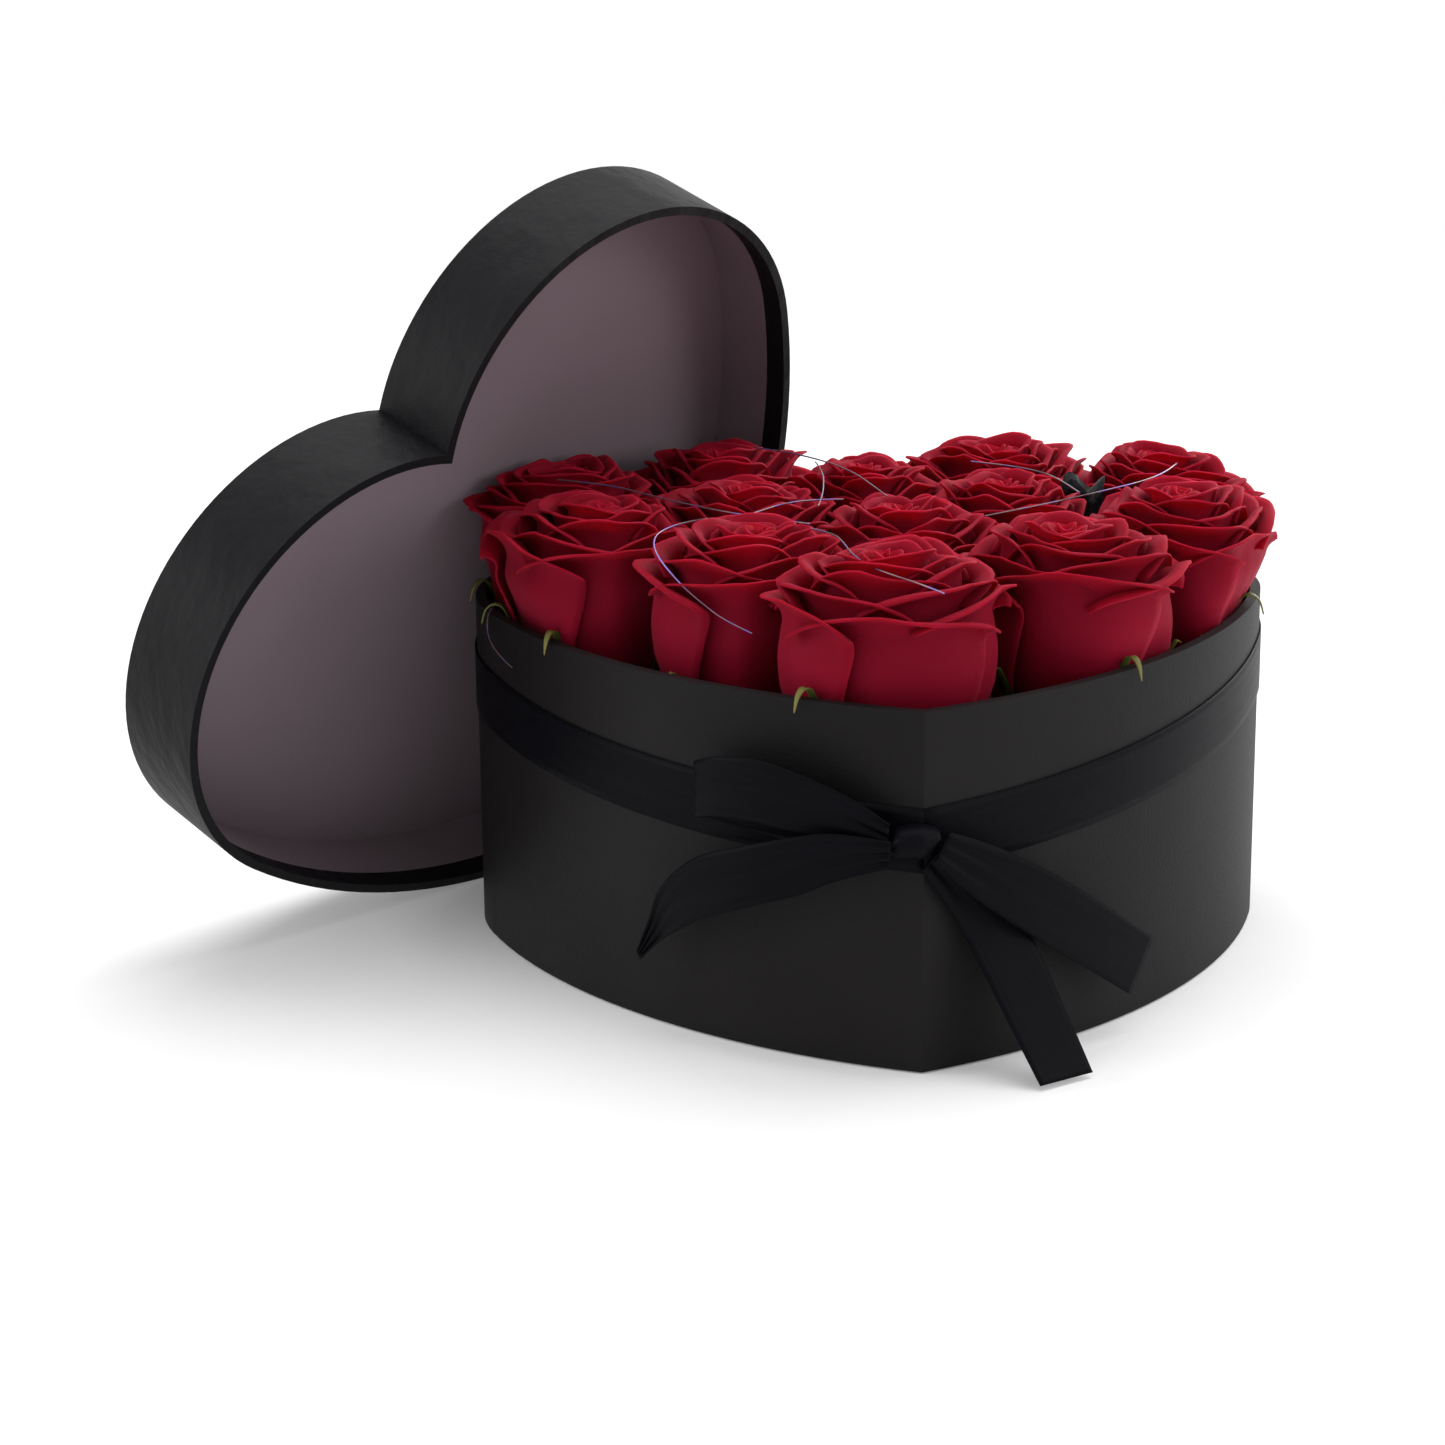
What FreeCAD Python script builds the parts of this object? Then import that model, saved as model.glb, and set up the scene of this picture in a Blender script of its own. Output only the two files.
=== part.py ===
"""Heart-shaped gift box of soap roses, tied with a ribbon bow, with its lid leaning on it.

Millimetres, +Z up. The origin is on the underside of the box, on the heart's line of symmetry
and level with the centres of its two lobes. The heart's tip points to -Y.
"""
import FreeCAD
import Part
import Sketcher
import math
import os
from FreeCAD import Placement, Rotation, Vector

SIZES = {
    # the heart: two lobes, and two long arcs that run from them to the tip
    "lobe_offset": 44.0,
    "lobe_radius": 56.0,
    "side_radius": 167.0,
    "side_start_angle": 16.8,
    # the box
    "box_height": 85.0,
    "box_board": 1.8,
    "paper": 0.3,
    "glue_line": 0.1,
    "box_turn_in": 12.0,
    # the lid, and how it leans
    "lid_depth": 26.0,
    "lid_board": 1.5,
    "lid_clearance": 0.5,
    "lid_turn_in": 6.0,
    "lid_yaw": 42.5,
    "lid_lean": 18.3,
    "lid_roll": 41.4,
    "lid_rest_gap": 0.3,
    "lid_sideways": 74.0,
    # the foam block that the roses stand in
    "foam_gap": 0.5,
    "foam_height": 60.5,
    "socket_depth": 14.0,
    # the roses, in columns across the heart
    "middle_across": 0.0,
    "inner_across": 37.0,
    "outer_across": 77.0,
    "middle_first": -87.0,
    "middle_pitch": 51.0,
    "inner_first": -58.0,
    "inner_pitch": 47.0,
    "outer_first": -25.0,
    "outer_pitch": 46.0,
    "rose_gap": 0.8,
    "petal": 1.0,
    "whorl_disc": 1.2,
    "calyx_radius": 9.7,
    "calyx_height": 4.3,
    "peg_radius": 3.0,
    "peg_length": 12.0,
    "peg_clearance": 0.1,
    "sepal": 0.6,
    "sepal_gap": 0.6,
    # the ribbon
    "ribbon_width": 15.0,
    "ribbon_thick": 0.4,
    "ribbon_gap": 0.1,
    "ribbon_level": 66.7,
    "ribbon_pitch_angle": 5.2,
    "ribbon_roll_angle": -1.1,
    "knot_width": 11.0,
    "knot_height": 9.0,
    "knot_depth": 8.0,
    "knot_round": 3.0,
    "knot_level": 55.8,
    "knot_across": -3.0,
    "knot_bulge": 5.6,
    # the black tissue among the roses, and the loose threads over them
    "tissue_radius": 6.0,
    "tissue_foot_radius": 3.0,
    "tissue_height": 49.0,
    "tissue_across": 56.0,
    "tissue_back": 8.0,
    "thread": 0.4,
}

doc = FreeCAD.newDocument("rose_box")
sheet = doc.addObject("Spreadsheet::Sheet", "sizes")
for row, (alias, value) in enumerate(SIZES.items(), start=1):
    sheet.set(f"A{row}", alias)
    sheet.set(f"B{row}", str(value))
    sheet.setAlias(f"B{row}", alias)
doc.recompute()


def size(alias):
    """A driving dimension, read back from the sheet."""
    return float(sheet.get(alias))


def cell(alias):
    """The same dimension, as a term of an expression."""
    return f"sizes.{alias}"


LOBE = size("lobe_offset")
LOBE_RADIUS = size("lobe_radius")
SIDE_RADIUS = size("side_radius")
SIDE_START = math.radians(size("side_start_angle"))
SIDE_CENTRE = Vector(
    LOBE - (SIDE_RADIUS - LOBE_RADIUS) * math.cos(SIDE_START),
    (SIDE_RADIUS - LOBE_RADIUS) * math.sin(SIDE_START),
    0,
)
TIP_ANGLE = -math.acos(-SIDE_CENTRE.x / SIDE_RADIUS)
SIDE_RISE = (
    f"({cell('side_radius')} - {cell('lobe_radius')})"
    f" * sin({cell('side_start_angle')} * 1 deg)"
)
WRAP_OUT = size("glue_line") + size("paper")
BOX_INSIDE = -(size("box_board") + size("glue_line") + size("paper"))
BOX_TOP = size("box_height") + WRAP_OUT
subparts = []


def keep(thing, label):
    """Name a finished sub-part and list it for writing."""
    thing.Label = label
    subparts.append(thing)
    return thing


# Heart outlines

def in_heart(x, y, growth):
    """Whether a point of the plan lies inside the heart, grown by growth."""
    x = abs(x)
    above = (x - LOBE) * math.sin(SIDE_START) + y * math.cos(SIDE_START) > 0
    if above:
        return math.hypot(x - LOBE, y) < LOBE_RADIUS + growth
    return math.hypot(x - SIDE_CENTRE.x, y - SIDE_CENTRE.y) < SIDE_RADIUS + growth


def heart_support(direction, growth):
    """How far the grown heart reaches along a unit direction of the plan."""
    dx, dy = abs(direction.x), direction.y
    angle = math.atan2(dy, dx)
    if angle > -SIDE_START:
        return LOBE * dx + LOBE_RADIUS + growth
    if angle > TIP_ANGLE:
        return SIDE_CENTRE.x * dx + SIDE_CENTRE.y * dy + SIDE_RADIUS + growth
    reach = SIDE_RADIUS + growth
    return dy * (SIDE_CENTRE.y - math.sqrt(reach ** 2 - SIDE_CENTRE.x ** 2))


def wall_point(side, along, height, standoff):
    """A point off the box's front wall: side +1 right or -1 left, along it from the tip."""
    angle = TIP_ANGLE + along / SIDE_RADIUS
    reach = SIDE_RADIUS + standoff
    x = SIDE_CENTRE.x + reach * math.cos(angle)
    return Vector(side * x, SIDE_CENTRE.y + reach * math.sin(angle), height)


def heart_loop(sketch, growth, growth_value, bridged=False):
    """Add one heart outline. A bridged one runs straight across the cleft, as a tight band does."""
    lobe_r = LOBE_RADIUS + growth_value
    side_r = SIDE_RADIUS + growth_value
    cleft = math.pi / 2 if bridged else math.pi - math.acos(LOBE / lobe_r)
    tip = -math.acos(-SIDE_CENTRE.x / side_r)
    up = Vector(0, 0, 1)

    def arc(centre, radius, start, end):
        return sketch.addGeometry(Part.ArcOfCircle(Part.Circle(centre, up, radius), start, end))

    def rule(*terms):
        return sketch.addConstraint(Sketcher.Constraint(*terms))

    def bind(number, expression):
        sketch.setExpression(f"Constraints[{number}]", expression)

    right_lobe = arc(Vector(LOBE, 0, 0), lobe_r, -SIDE_START, cleft)
    left_lobe = arc(Vector(-LOBE, 0, 0), lobe_r, math.pi - cleft, math.pi + SIDE_START)
    left_centre = Vector(-SIDE_CENTRE.x, SIDE_CENTRE.y, 0)
    left_side = arc(left_centre, side_r, math.pi + SIDE_START, math.pi - tip)
    right_side = arc(SIDE_CENTRE, side_r, tip, -SIDE_START)
    bind(rule("DistanceX", -1, 1, right_lobe, 3, LOBE), cell("lobe_offset"))
    rule("PointOnObject", right_lobe, 3, -1)
    bind(rule("Radius", right_lobe, lobe_r), f"{cell('lobe_radius')} + {growth}")
    bind(rule("Radius", right_side, side_r), f"{cell('side_radius')} + {growth}")
    bind(rule("DistanceY", -1, 1, right_side, 3, SIDE_CENTRE.y), SIDE_RISE)
    rule("PointOnObject", right_side, 1, -2)
    rule("Tangent", right_lobe, 1, right_side, 2)
    bind(rule("DistanceX", left_lobe, 3, -1, 1, LOBE), cell("lobe_offset"))
    rule("PointOnObject", left_lobe, 3, -1)
    rule("Coincident", right_side, 1, left_side, 2)
    rule("Tangent", left_lobe, 2, left_side, 1)
    rule("Equal", right_side, left_side)
    if bridged:
        back = sketch.addGeometry(
            Part.LineSegment(Vector(LOBE, lobe_r, 0), Vector(-LOBE, lobe_r, 0))
        )
        rule("Tangent", right_lobe, 2, back, 1)
        rule("Tangent", back, 2, left_lobe, 1)
        rule("Equal", right_lobe, left_lobe)
    else:
        rule("PointOnObject", right_lobe, 2, -2)
        rule("Coincident", right_lobe, 2, left_lobe, 1)


def growth_of(*terms):
    """An outline's growth from signed sheet names, as an expression and as a number."""
    text = "0"
    number = 0.0
    for term in terms:
        name = term.lstrip("-")
        sign = -1 if term.startswith("-") else 1
        text += f" + {sign} * {cell(name)}"
        number += sign * size(name)
    return f"({text})", number


def new_body(label):
    """A named, empty body."""
    return doc.addObject("PartDesign::Body", label)


def level_sketch(body, name, height):
    """A sketch on a level plane of its body, at an expression's height."""
    sketch = body.newObject("Sketcher::SketchObject", name)
    plane = [datum for datum in body.Origin.OriginFeatures if datum.Role == "XY_Plane"][0]
    sketch.AttachmentSupport = [(plane, "")]
    sketch.MapMode = "FlatFace"
    sketch.setExpression("AttachmentOffset.Base.z", height)
    return sketch


def heart_pad(body, name, loops, bottom, thickness, bridged=False):
    """Pad a heart plate, or a ring between two heart outlines, up from an expression's height."""
    sketch = level_sketch(body, f"{name}_outline", bottom)
    for loop in loops:
        heart_loop(sketch, *loop, bridged=bridged)
    pad = body.newObject("PartDesign::Pad", name)
    pad.Profile = sketch
    pad.setExpression("Length", thickness)
    return pad


# The box: floor, wall and the paper round them

def box_pieces():
    """The box's board and its black paper, which turns in over the rim."""
    face = ("(0)", 0.0)
    inner = growth_of("-box_board")
    fit = growth_of("-box_board", "-glue_line")
    paper_in = growth_of("glue_line")
    paper_out = growth_of("glue_line", "paper")
    turned = growth_of("-box_board", "-glue_line", "-paper")
    rim = f"{cell('box_height')} + {cell('glue_line')}"

    wall = new_body("box_wall")
    heart_pad(wall, "wall", [face, inner], "0", cell("box_height"))
    keep(wall, "box_wall")

    floor = new_body("box_floor")
    heart_pad(floor, "floor", [fit], "0", cell("box_board"))
    keep(floor, "box_floor")

    wrap = new_body("box_wrap")
    heart_pad(wrap, "outside", [paper_out, paper_in], "0", f"{rim} + {cell('paper')}")
    heart_pad(wrap, "rim", [paper_out, turned], rim, cell("paper"))
    inside_foot = f"{rim} - {cell('box_turn_in')}"
    heart_pad(wrap, "turn_in", [fit, turned], inside_foot, f"{cell('box_turn_in')} + {cell('paper')}")
    keep(wrap, "box_wrap")


# The lid, made with its panel's outside at zero and its rim below

LID_IN = WRAP_OUT + size("lid_clearance")
LID_LINING_OUT = LID_IN + size("paper")
LID_WALL_IN = LID_LINING_OUT + size("glue_line")
LID_OUT = LID_WALL_IN + size("lid_board") + WRAP_OUT
LID_PANEL_THICK = WRAP_OUT + size("lid_board") + WRAP_OUT


def lid_axes():
    """The standing lid's own axes: across, towards the cleft, and out of the panel."""
    yaw, lean, roll = (math.radians(size(name)) for name in ("lid_yaw", "lid_lean", "lid_roll"))
    level = Vector(-math.cos(yaw), -math.sin(yaw), 0)
    outward = Vector(-math.sin(yaw) * math.cos(lean), math.cos(yaw) * math.cos(lean), math.sin(lean))
    steep = level.cross(outward) * -1
    cleft = steep * math.cos(roll) + level * math.sin(roll)
    return cleft.cross(outward), cleft, outward, level


def lid_placement():
    """Stand the lid on the floor, with the inside of its panel against the box's rim."""
    across, cleft, outward, level = lid_axes()
    plan = Vector(outward.x, outward.y, 0)
    rim_reach = heart_support(plan / plan.Length, WRAP_OUT) * plan.Length + outward.z * BOX_TOP
    offset = rim_reach + size("lid_rest_gap") + LID_PANEL_THICK
    down = Vector(-across.z, -cleft.z, 0)
    lowest = heart_support(down / down.Length, LID_OUT) * down.Length
    height = lowest + size("lid_depth") * outward.z
    spot = level * size("lid_sideways")
    spot = spot + plan * ((offset - spot.dot(outward) - height * outward.z) / plan.dot(outward))
    spot.z = height
    turn = Rotation(across, cleft, outward, "ZXY")
    return Placement(spot, turn)


LID_PLACEMENT = lid_placement()


def lid_pieces():
    """The lid's board, its black paper and its pale lining."""
    lining_in = growth_of("glue_line", "paper", "lid_clearance")
    lining_out = growth_of("glue_line", "paper", "lid_clearance", "paper")
    wall_in = growth_of("glue_line", "paper", "lid_clearance", "paper", "glue_line")
    wall_terms = ("glue_line", "paper", "lid_clearance", "paper", "glue_line", "lid_board")
    wall_out = growth_of(*wall_terms)
    wrap_in = growth_of(*wall_terms, "glue_line")
    wrap_out = growth_of(*wall_terms, "glue_line", "paper")
    rim = f"-{cell('lid_depth')}"
    board_rim = f"{rim} + {cell('paper')} + {cell('glue_line')}"
    board_top = f"-{cell('paper')} - {cell('glue_line')}"
    panel_under = f"{board_top} - {cell('lid_board')}"
    lining_top = f"{panel_under} - {cell('glue_line')}"
    turned_top = f"{board_rim} + {cell('lid_turn_in')}"

    panel = new_body("lid_panel")
    heart_pad(panel, "panel", [wall_out], panel_under, cell("lid_board"))
    keep(panel, "lid_panel")

    wall = new_body("lid_wall")
    length = f"{cell('lid_depth')} - 2 * ({cell('paper')} + {cell('glue_line')}) - {cell('lid_board')}"
    heart_pad(wall, "wall", [wall_out, wall_in], board_rim, length)
    keep(wall, "lid_wall")

    wrap = new_body("lid_wrap")
    heart_pad(wrap, "outside", [wrap_out, wrap_in], rim, cell("lid_depth"))
    heart_pad(wrap, "rim", [wrap_out, lining_in], rim, cell("paper"))
    turn_length = f"{cell('lid_turn_in')} + {cell('paper')} + {cell('glue_line')}"
    heart_pad(wrap, "turn_in", [lining_out, lining_in], rim, turn_length)
    keep(wrap, "lid_wrap")

    top = new_body("lid_top_paper")
    heart_pad(top, "top", [wall_out], f"-{cell('paper')}", cell("paper"))
    keep(top, "lid_top_paper")

    lining = new_body("lid_lining")
    heart_pad(lining, "sheet", [lining_out], f"{lining_top} - {cell('paper')}", cell("paper"))
    foot = f"{turned_top} + {cell('glue_line')}"
    heart_pad(lining, "strip", [lining_out, lining_in], foot, f"{lining_top} - ({foot})")
    keep(lining, "lid_lining")

    for piece in (panel, wall, wrap, top, lining):
        piece.Placement = LID_PLACEMENT


# Where the roses stand

# columns of roses: the sizes that place it, its side, and how many it holds
COLUMNS = (("middle", 1, 3), ("inner", 1, 3), ("inner", -1, 3), ("outer", 1, 2), ("outer", -1, 2))
# how far each hand-placed rose stands out of its column: aside and behind
NUDGES = {1: (-5, 0), 2: (4, 0), 4: (3, -4), 5: (-4, 2), 6: (1, 0), 7: (5, 0), 8: (5, 0),
          9: (2, 0), 10: (-1.5, 1), 12: (9, -2), 13: (1, 0)}


def rose_spots():
    """Each rose's plan position, and the two expressions that give it."""
    spots = []
    for column, side, count in COLUMNS:
        for place in range(count):
            x = side * size(f"{column}_across")
            y = size(f"{column}_first") + place * size(f"{column}_pitch")
            across = f"{side} * {cell(column + '_across')}"
            back = f"{cell(column + '_first')} + {place} * {cell(column + '_pitch')}"
            aside, behind = NUDGES.get(len(spots) + 1, (0, 0))
            spots.append((x + aside, y + behind, f"{across} + {aside}", f"{back} + {behind}"))
    return spots


SPOTS = rose_spots()
FOAM_TOP = size("box_board") + size("glue_line") + size("foam_height")


def foam_piece():
    """The foam block, with a blind socket under each rose."""
    foam = new_body("foam_insert")
    fit = growth_of("-box_board", "-glue_line", "-paper", "-foam_gap")
    bottom = f"{cell('box_board')} + {cell('glue_line')}"
    heart_pad(foam, "block", [fit], bottom, cell("foam_height"))
    sketch = level_sketch(foam, "sockets_outline", f"{bottom} + {cell('foam_height')}")
    radius = size("peg_radius") + size("peg_clearance")
    for x, y, across, back in SPOTS:
        circle = sketch.addGeometry(Part.Circle(Vector(x, y, 0), Vector(0, 0, 1), radius))
        for kind, value, expression in (("DistanceX", x, across), ("DistanceY", y, back)):
            number = sketch.addConstraint(Sketcher.Constraint(kind, -1, 1, circle, 3, value))
            sketch.setExpression(f"Constraints[{number}]", expression)
        number = sketch.addConstraint(Sketcher.Constraint("Radius", circle, radius))
        sketch.setExpression(f"Constraints[{number}]", f"{cell('peg_radius')} + {cell('peg_clearance')}")
    pocket = foam.newObject("PartDesign::Pocket", "sockets")
    pocket.Profile = sketch
    pocket.setExpression("Length", cell("socket_depth"))
    keep(foam, "foam_insert")


# Roses: three whorls of petals on discs, stacked on a calyx with a peg

# each station of a petal: radius, height, half width in degrees, and drop of the edges
OUTER = ((8.4, 5.0, 32, 0.0), (17, 12, 45, 0.5), (22.5, 24, 48, 2), (24.5, 36, 46, 4),
         (25.3, 43.5, 40, 5), (27.5, 48, 28, 4))
MIDDLE = ((6.4, 6.4, 32, 0.0), (12, 14, 45, 0.5), (16.5, 26, 49, 2), (18, 38, 47, 4),
          (18.6, 46, 41, 4), (21, 50, 27, 3))
INNER = ((4.7, 7.8, 54, 0.0), (8, 16, 66, 0.3), (10.5, 28, 69, 1), (11.3, 40, 66, 2.5),
         (12, 48, 54, 3), (14, 52.5, 33, 2))
SEPAL = ((8.0, 3.0, 16, 0.0), (18.4, 10.5, 11, 0.0), (23.6, 22, 7, 0.0), (25.5, 27.5, 1.6, 0.0))
CORE = ((2.8, 7.8), (3.6, 30), (1.2, 52))
OUTER_PETALS = 5
SHINGLE = {"outer": 0.15, "middle": 0.18, "inner": 0.24, "sepal": 0.0}
LIP_RADIUS = OUTER[-1][0]
# how a rose fills its place: its radius at the rim, its widest share, its reach over the rim,
# how round its side to a neighbour is, a petal edge's widest share, and the height it opens in
RIM_RADIUS = 26.5
WIDEST = 1.06
OVERHANG = 5.0
CELL_ROUNDING = 0.5
EDGE_SPREAD = 1.05
FREE_ABOVE_RIM = 11.0
# how far a petal's edges hang below its middle at the seam that a sepal lies on
SEAM_DROP = 2.0
# each rose is turned on from the last, and some further, to point a sepal into a corner
TURN_PER_ROSE = 47
TURN_FURTHER = {10: 54}


def ray_to_wall(x, y, angle):
    """How far the inside of the box's wall is from a point, along a plan angle."""
    step = 0.5
    reach = 0.0
    while in_heart(x + reach * math.cos(angle), y + reach * math.sin(angle), BOX_INSIDE):
        reach += step
    return reach - step


def lid_room(x, y, angle, height):
    """How far a rose may reach towards the leaning lid at a height, or a large number."""
    outward = LID_PLACEMENT.Rotation.multVec(Vector(0, 0, 1))
    inside = LID_PLACEMENT.multVec(Vector(0, 0, -LID_PANEL_THICK)).dot(outward)
    closing = outward.x * math.cos(angle) + outward.y * math.sin(angle)
    if closing < 0.05:
        return 1000.0
    spare = inside - size("rose_gap") - Vector(x, y, height).dot(outward)
    return spare / closing


def room_to(x, y, other, radius, angle):
    """How far a rose may reach towards a neighbour of a given radius, or a large number."""
    dx, dy = other[0] - x, other[1] - y
    facing = math.cos(angle - math.atan2(dy, dx))
    if facing < 0.1:
        return 1000.0
    limit = math.hypot(dx, dy) - radius - size("rose_gap")
    return limit * (1 + CELL_ROUNDING * (1 / facing - 1))


def reach_scales(spot, angle):
    """A rose's share of its free width along a plan angle, inside the box and above its rim."""
    x, y = spot[0], spot[1]
    rooms = [WIDEST * LIP_RADIUS]
    for other in SPOTS:
        apart = math.hypot(other[0] - x, other[1] - y)
        if other is not spot:
            rooms.append(room_to(x, y, other, (apart - size("rose_gap")) / 2, angle))
    tissue = size("tissue_across"), size("tissue_back")
    rooms.append(room_to(x, y, tissue, size("tissue_radius"), angle))
    free = min(rooms) / LIP_RADIUS
    wall = ray_to_wall(x, y, angle)
    cleft = 0.0, ray_to_wall(0.0, 0.0, math.pi / 2)
    below = min(wall - size("rose_gap"), room_to(x, y, cleft, 0.0, angle))
    inside = min(free, below / RIM_RADIUS)
    above = min(free, (wall + WRAP_OUT - BOX_INSIDE + OVERHANG) / LIP_RADIUS)
    for radius, height, *rest in (OUTER[-1], MIDDLE[-1], INNER[-1]):
        above = min(above, lid_room(x, y, angle, FOAM_TOP + height) / radius)
    return min(inside, above), above


def spread(spot, angle, height):
    """A rose's width along a plan angle at a height, as a share of its free width."""
    inside, above = reach_scales(spot, angle)
    clear = (FOAM_TOP + height - BOX_TOP) / FREE_ABOVE_RIM
    return inside + (above - inside) * min(max(clear, 0.0), 1.0)


def crescent(station, facing, inset, shingle, scale):
    """Three points of a petal's level crescent, as reach and turn from where the petal faces."""
    radius, height, half, drop = station
    widest = EDGE_SPREAD * scale(math.radians(facing), height)
    points = []
    for turn in (-half, 0, half):
        lap = 1 - shingle * (1 - turn / half) / 2
        share = min(scale(math.radians(facing + turn), height), widest)
        points.append(((radius * lap - inset) * share, math.radians(turn)))
    return points


def petal(stations, facing, thick, shingle, scale):
    """One petal: a loft through level crescents, each tilted so that its edges drop."""
    wires = []
    for station in stations:
        height, drop = station[1], station[3]
        plan = crescent(station, facing, 0.0, shingle, scale) + crescent(station, facing, thick, shingle, scale)
        middle = plan[1][0]
        edge = min(plan[0][0] * math.cos(plan[0][1]), plan[2][0] * math.cos(plan[2][1]))
        points = []
        for reach, turn in plan:
            depth = middle - reach * math.cos(turn)
            angle = math.radians(facing) + turn
            fall = drop * depth / (middle - edge)
            points.append(Vector(reach * math.cos(angle), reach * math.sin(angle), height - fall))
        outside = Part.Arc(points[0], points[1], points[2]).toShape()
        end = Part.LineSegment(points[2], points[5]).toShape()
        inside = Part.Arc(points[5], points[4], points[3]).toShape()
        start = Part.LineSegment(points[3], points[0]).toShape()
        wires.append(Part.Wire([outside, end, inside, start]))
    return Part.makeLoft(wires, True, False)


def whorl(stations, count, start, name, scale, core=None):
    """A ring of petals on one disc, as soap petals are stamped."""
    radius, height = stations[0][0], stations[0][1]
    disc = Part.makeCylinder(radius, size("whorl_disc"), Vector(0, 0, height - size("whorl_disc") / 2))
    petals = [
        petal(stations, start + place * 360 / count, size("petal"), SHINGLE[name], scale)
        for place in range(count)
    ]
    if core:
        profile = [Vector(0, 0, core[0][1])] + [Vector(r, 0, z) for r, z in core]
        profile += [Vector(0, 0, core[-1][1])]
        wire = Part.makePolygon(profile + profile[:1])
        petals.append(Part.Face(wire).revolve(Vector(0, 0, 0), Vector(0, 0, 1), 360))
    return disc.multiFuse(petals).removeSplitter()


def crescent_reach(plan, turn):
    """How far a crescent's outside lies from the rose's axis along a turn, by its three points."""
    (first, low), (middle, level), (last, high) = plan
    share = min(max(turn / high, -1.0), 1.0)
    return middle + share * (last - first) / 2 + share ** 2 * ((first + last) / 2 - middle)


def petals_reach(start, facing, height, scale):
    """How far the outer petals and their disc reach along a plan angle at a height."""
    reaches = [OUTER[0][0]]
    for place in range(OUTER_PETALS):
        middle = start + place * 360 / OUTER_PETALS
        turn = (facing - middle + 180) % 360 - 180
        for lower, upper in zip(OUTER, OUTER[1:]):
            if lower[1] <= height < upper[1] and abs(turn) <= max(lower[2], upper[2]):
                ends = [
                    crescent_reach(crescent(station, middle, 0.0, SHINGLE["outer"], scale), math.radians(turn))
                    for station in (lower, upper)
                ]
                share = (height - lower[1]) / (upper[1] - lower[1])
                reaches.append(ends[0] + (ends[1] - ends[0]) * share)
    return max(reaches)


def sepal_stations(start, facing, scale):
    """A sepal's stations, kept outside the petals that it lies on."""
    stations = []
    for radius, height, half, drop in SEPAL:
        sides = [facing + side * half for side in (-1, 0, 1)]
        petals = max(petals_reach(start, side, height + SEAM_DROP, scale) for side in sides)
        reach = max(radius * scale(math.radians(facing), height), petals + size("sepal") + size("sepal_gap"))
        stations.append((reach, height, half, drop))
    return stations


def rose_pieces():
    """Every rose head and its calyx."""
    for number, spot in enumerate(SPOTS, start=1):
        turn = TURN_PER_ROSE * number + TURN_FURTHER.get(number, 0)

        def scale(angle, height, spot=spot):
            return spread(spot, angle, height)

        place = Placement(Vector(spot[0], spot[1], FOAM_TOP), Rotation())
        heads = [
            whorl(OUTER, OUTER_PETALS, turn, "outer", scale),
            whorl(MIDDLE, 5, turn + 36, "middle", scale),
            whorl(INNER, 3, turn + 15, "inner", scale, CORE),
        ]
        head = doc.addObject("Part::Feature", f"rose_{number:02d}")
        head.Shape = Part.makeCompound(heads)
        head.Placement = place
        keep(head, f"rose_{number:02d}")

        cup = Part.makeCylinder(size("calyx_radius"), size("calyx_height"))
        peg = Part.makeCylinder(size("peg_radius"), size("peg_length"), Vector(0, 0, -size("peg_length")))
        sepals = []
        for side in range(OUTER_PETALS):
            facing = turn + (side + 0.5) * 360 / OUTER_PETALS
            stations = sepal_stations(turn, facing, scale)
            sepals.append(petal(stations, facing, size("sepal"), SHINGLE["sepal"], lambda angle, height: 1.0))
        calyx = doc.addObject("Part::Feature", f"calyx_{number:02d}")
        calyx.Shape = cup.multiFuse([peg] + sepals).removeSplitter()
        calyx.Placement = place
        keep(calyx, f"calyx_{number:02d}")


# The ribbon: a tight band round the box, and a bow with one loop at the heart's tip

def ribbon_band():
    """The band, a slanting slice of a ring that bridges the cleft."""
    inner = growth_of("glue_line", "paper", "ribbon_gap")
    outer = growth_of("glue_line", "paper", "ribbon_gap", "ribbon_thick")
    ring = new_body("ribbon_ring")
    heart_pad(ring, "ring", [outer, inner], "0", cell("box_height"), bridged=True)
    slab = doc.addObject("Part::Box", "ribbon_slab")
    span = f"4 * ({cell('lobe_offset')} + {cell('lobe_radius')})"
    slab.setExpression("Length", span)
    slab.setExpression("Width", span)
    slab.setExpression("Height", cell("ribbon_width"))
    doc.recompute()
    tilt = Rotation(Vector(0, 1, 0), size("ribbon_roll_angle"))
    tilt = tilt.multiply(Rotation(Vector(1, 0, 0), size("ribbon_pitch_angle")))
    middle = Vector(slab.Length.Value, slab.Width.Value, slab.Height.Value) / 2
    slab.Placement = Placement(Vector(0, 0, size("ribbon_level")) - tilt.multVec(middle), tilt)
    band = doc.addObject("Part::Common", "ribbon_band")
    band.Base = ring
    band.Tool = slab
    keep(band, "ribbon_band")


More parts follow.
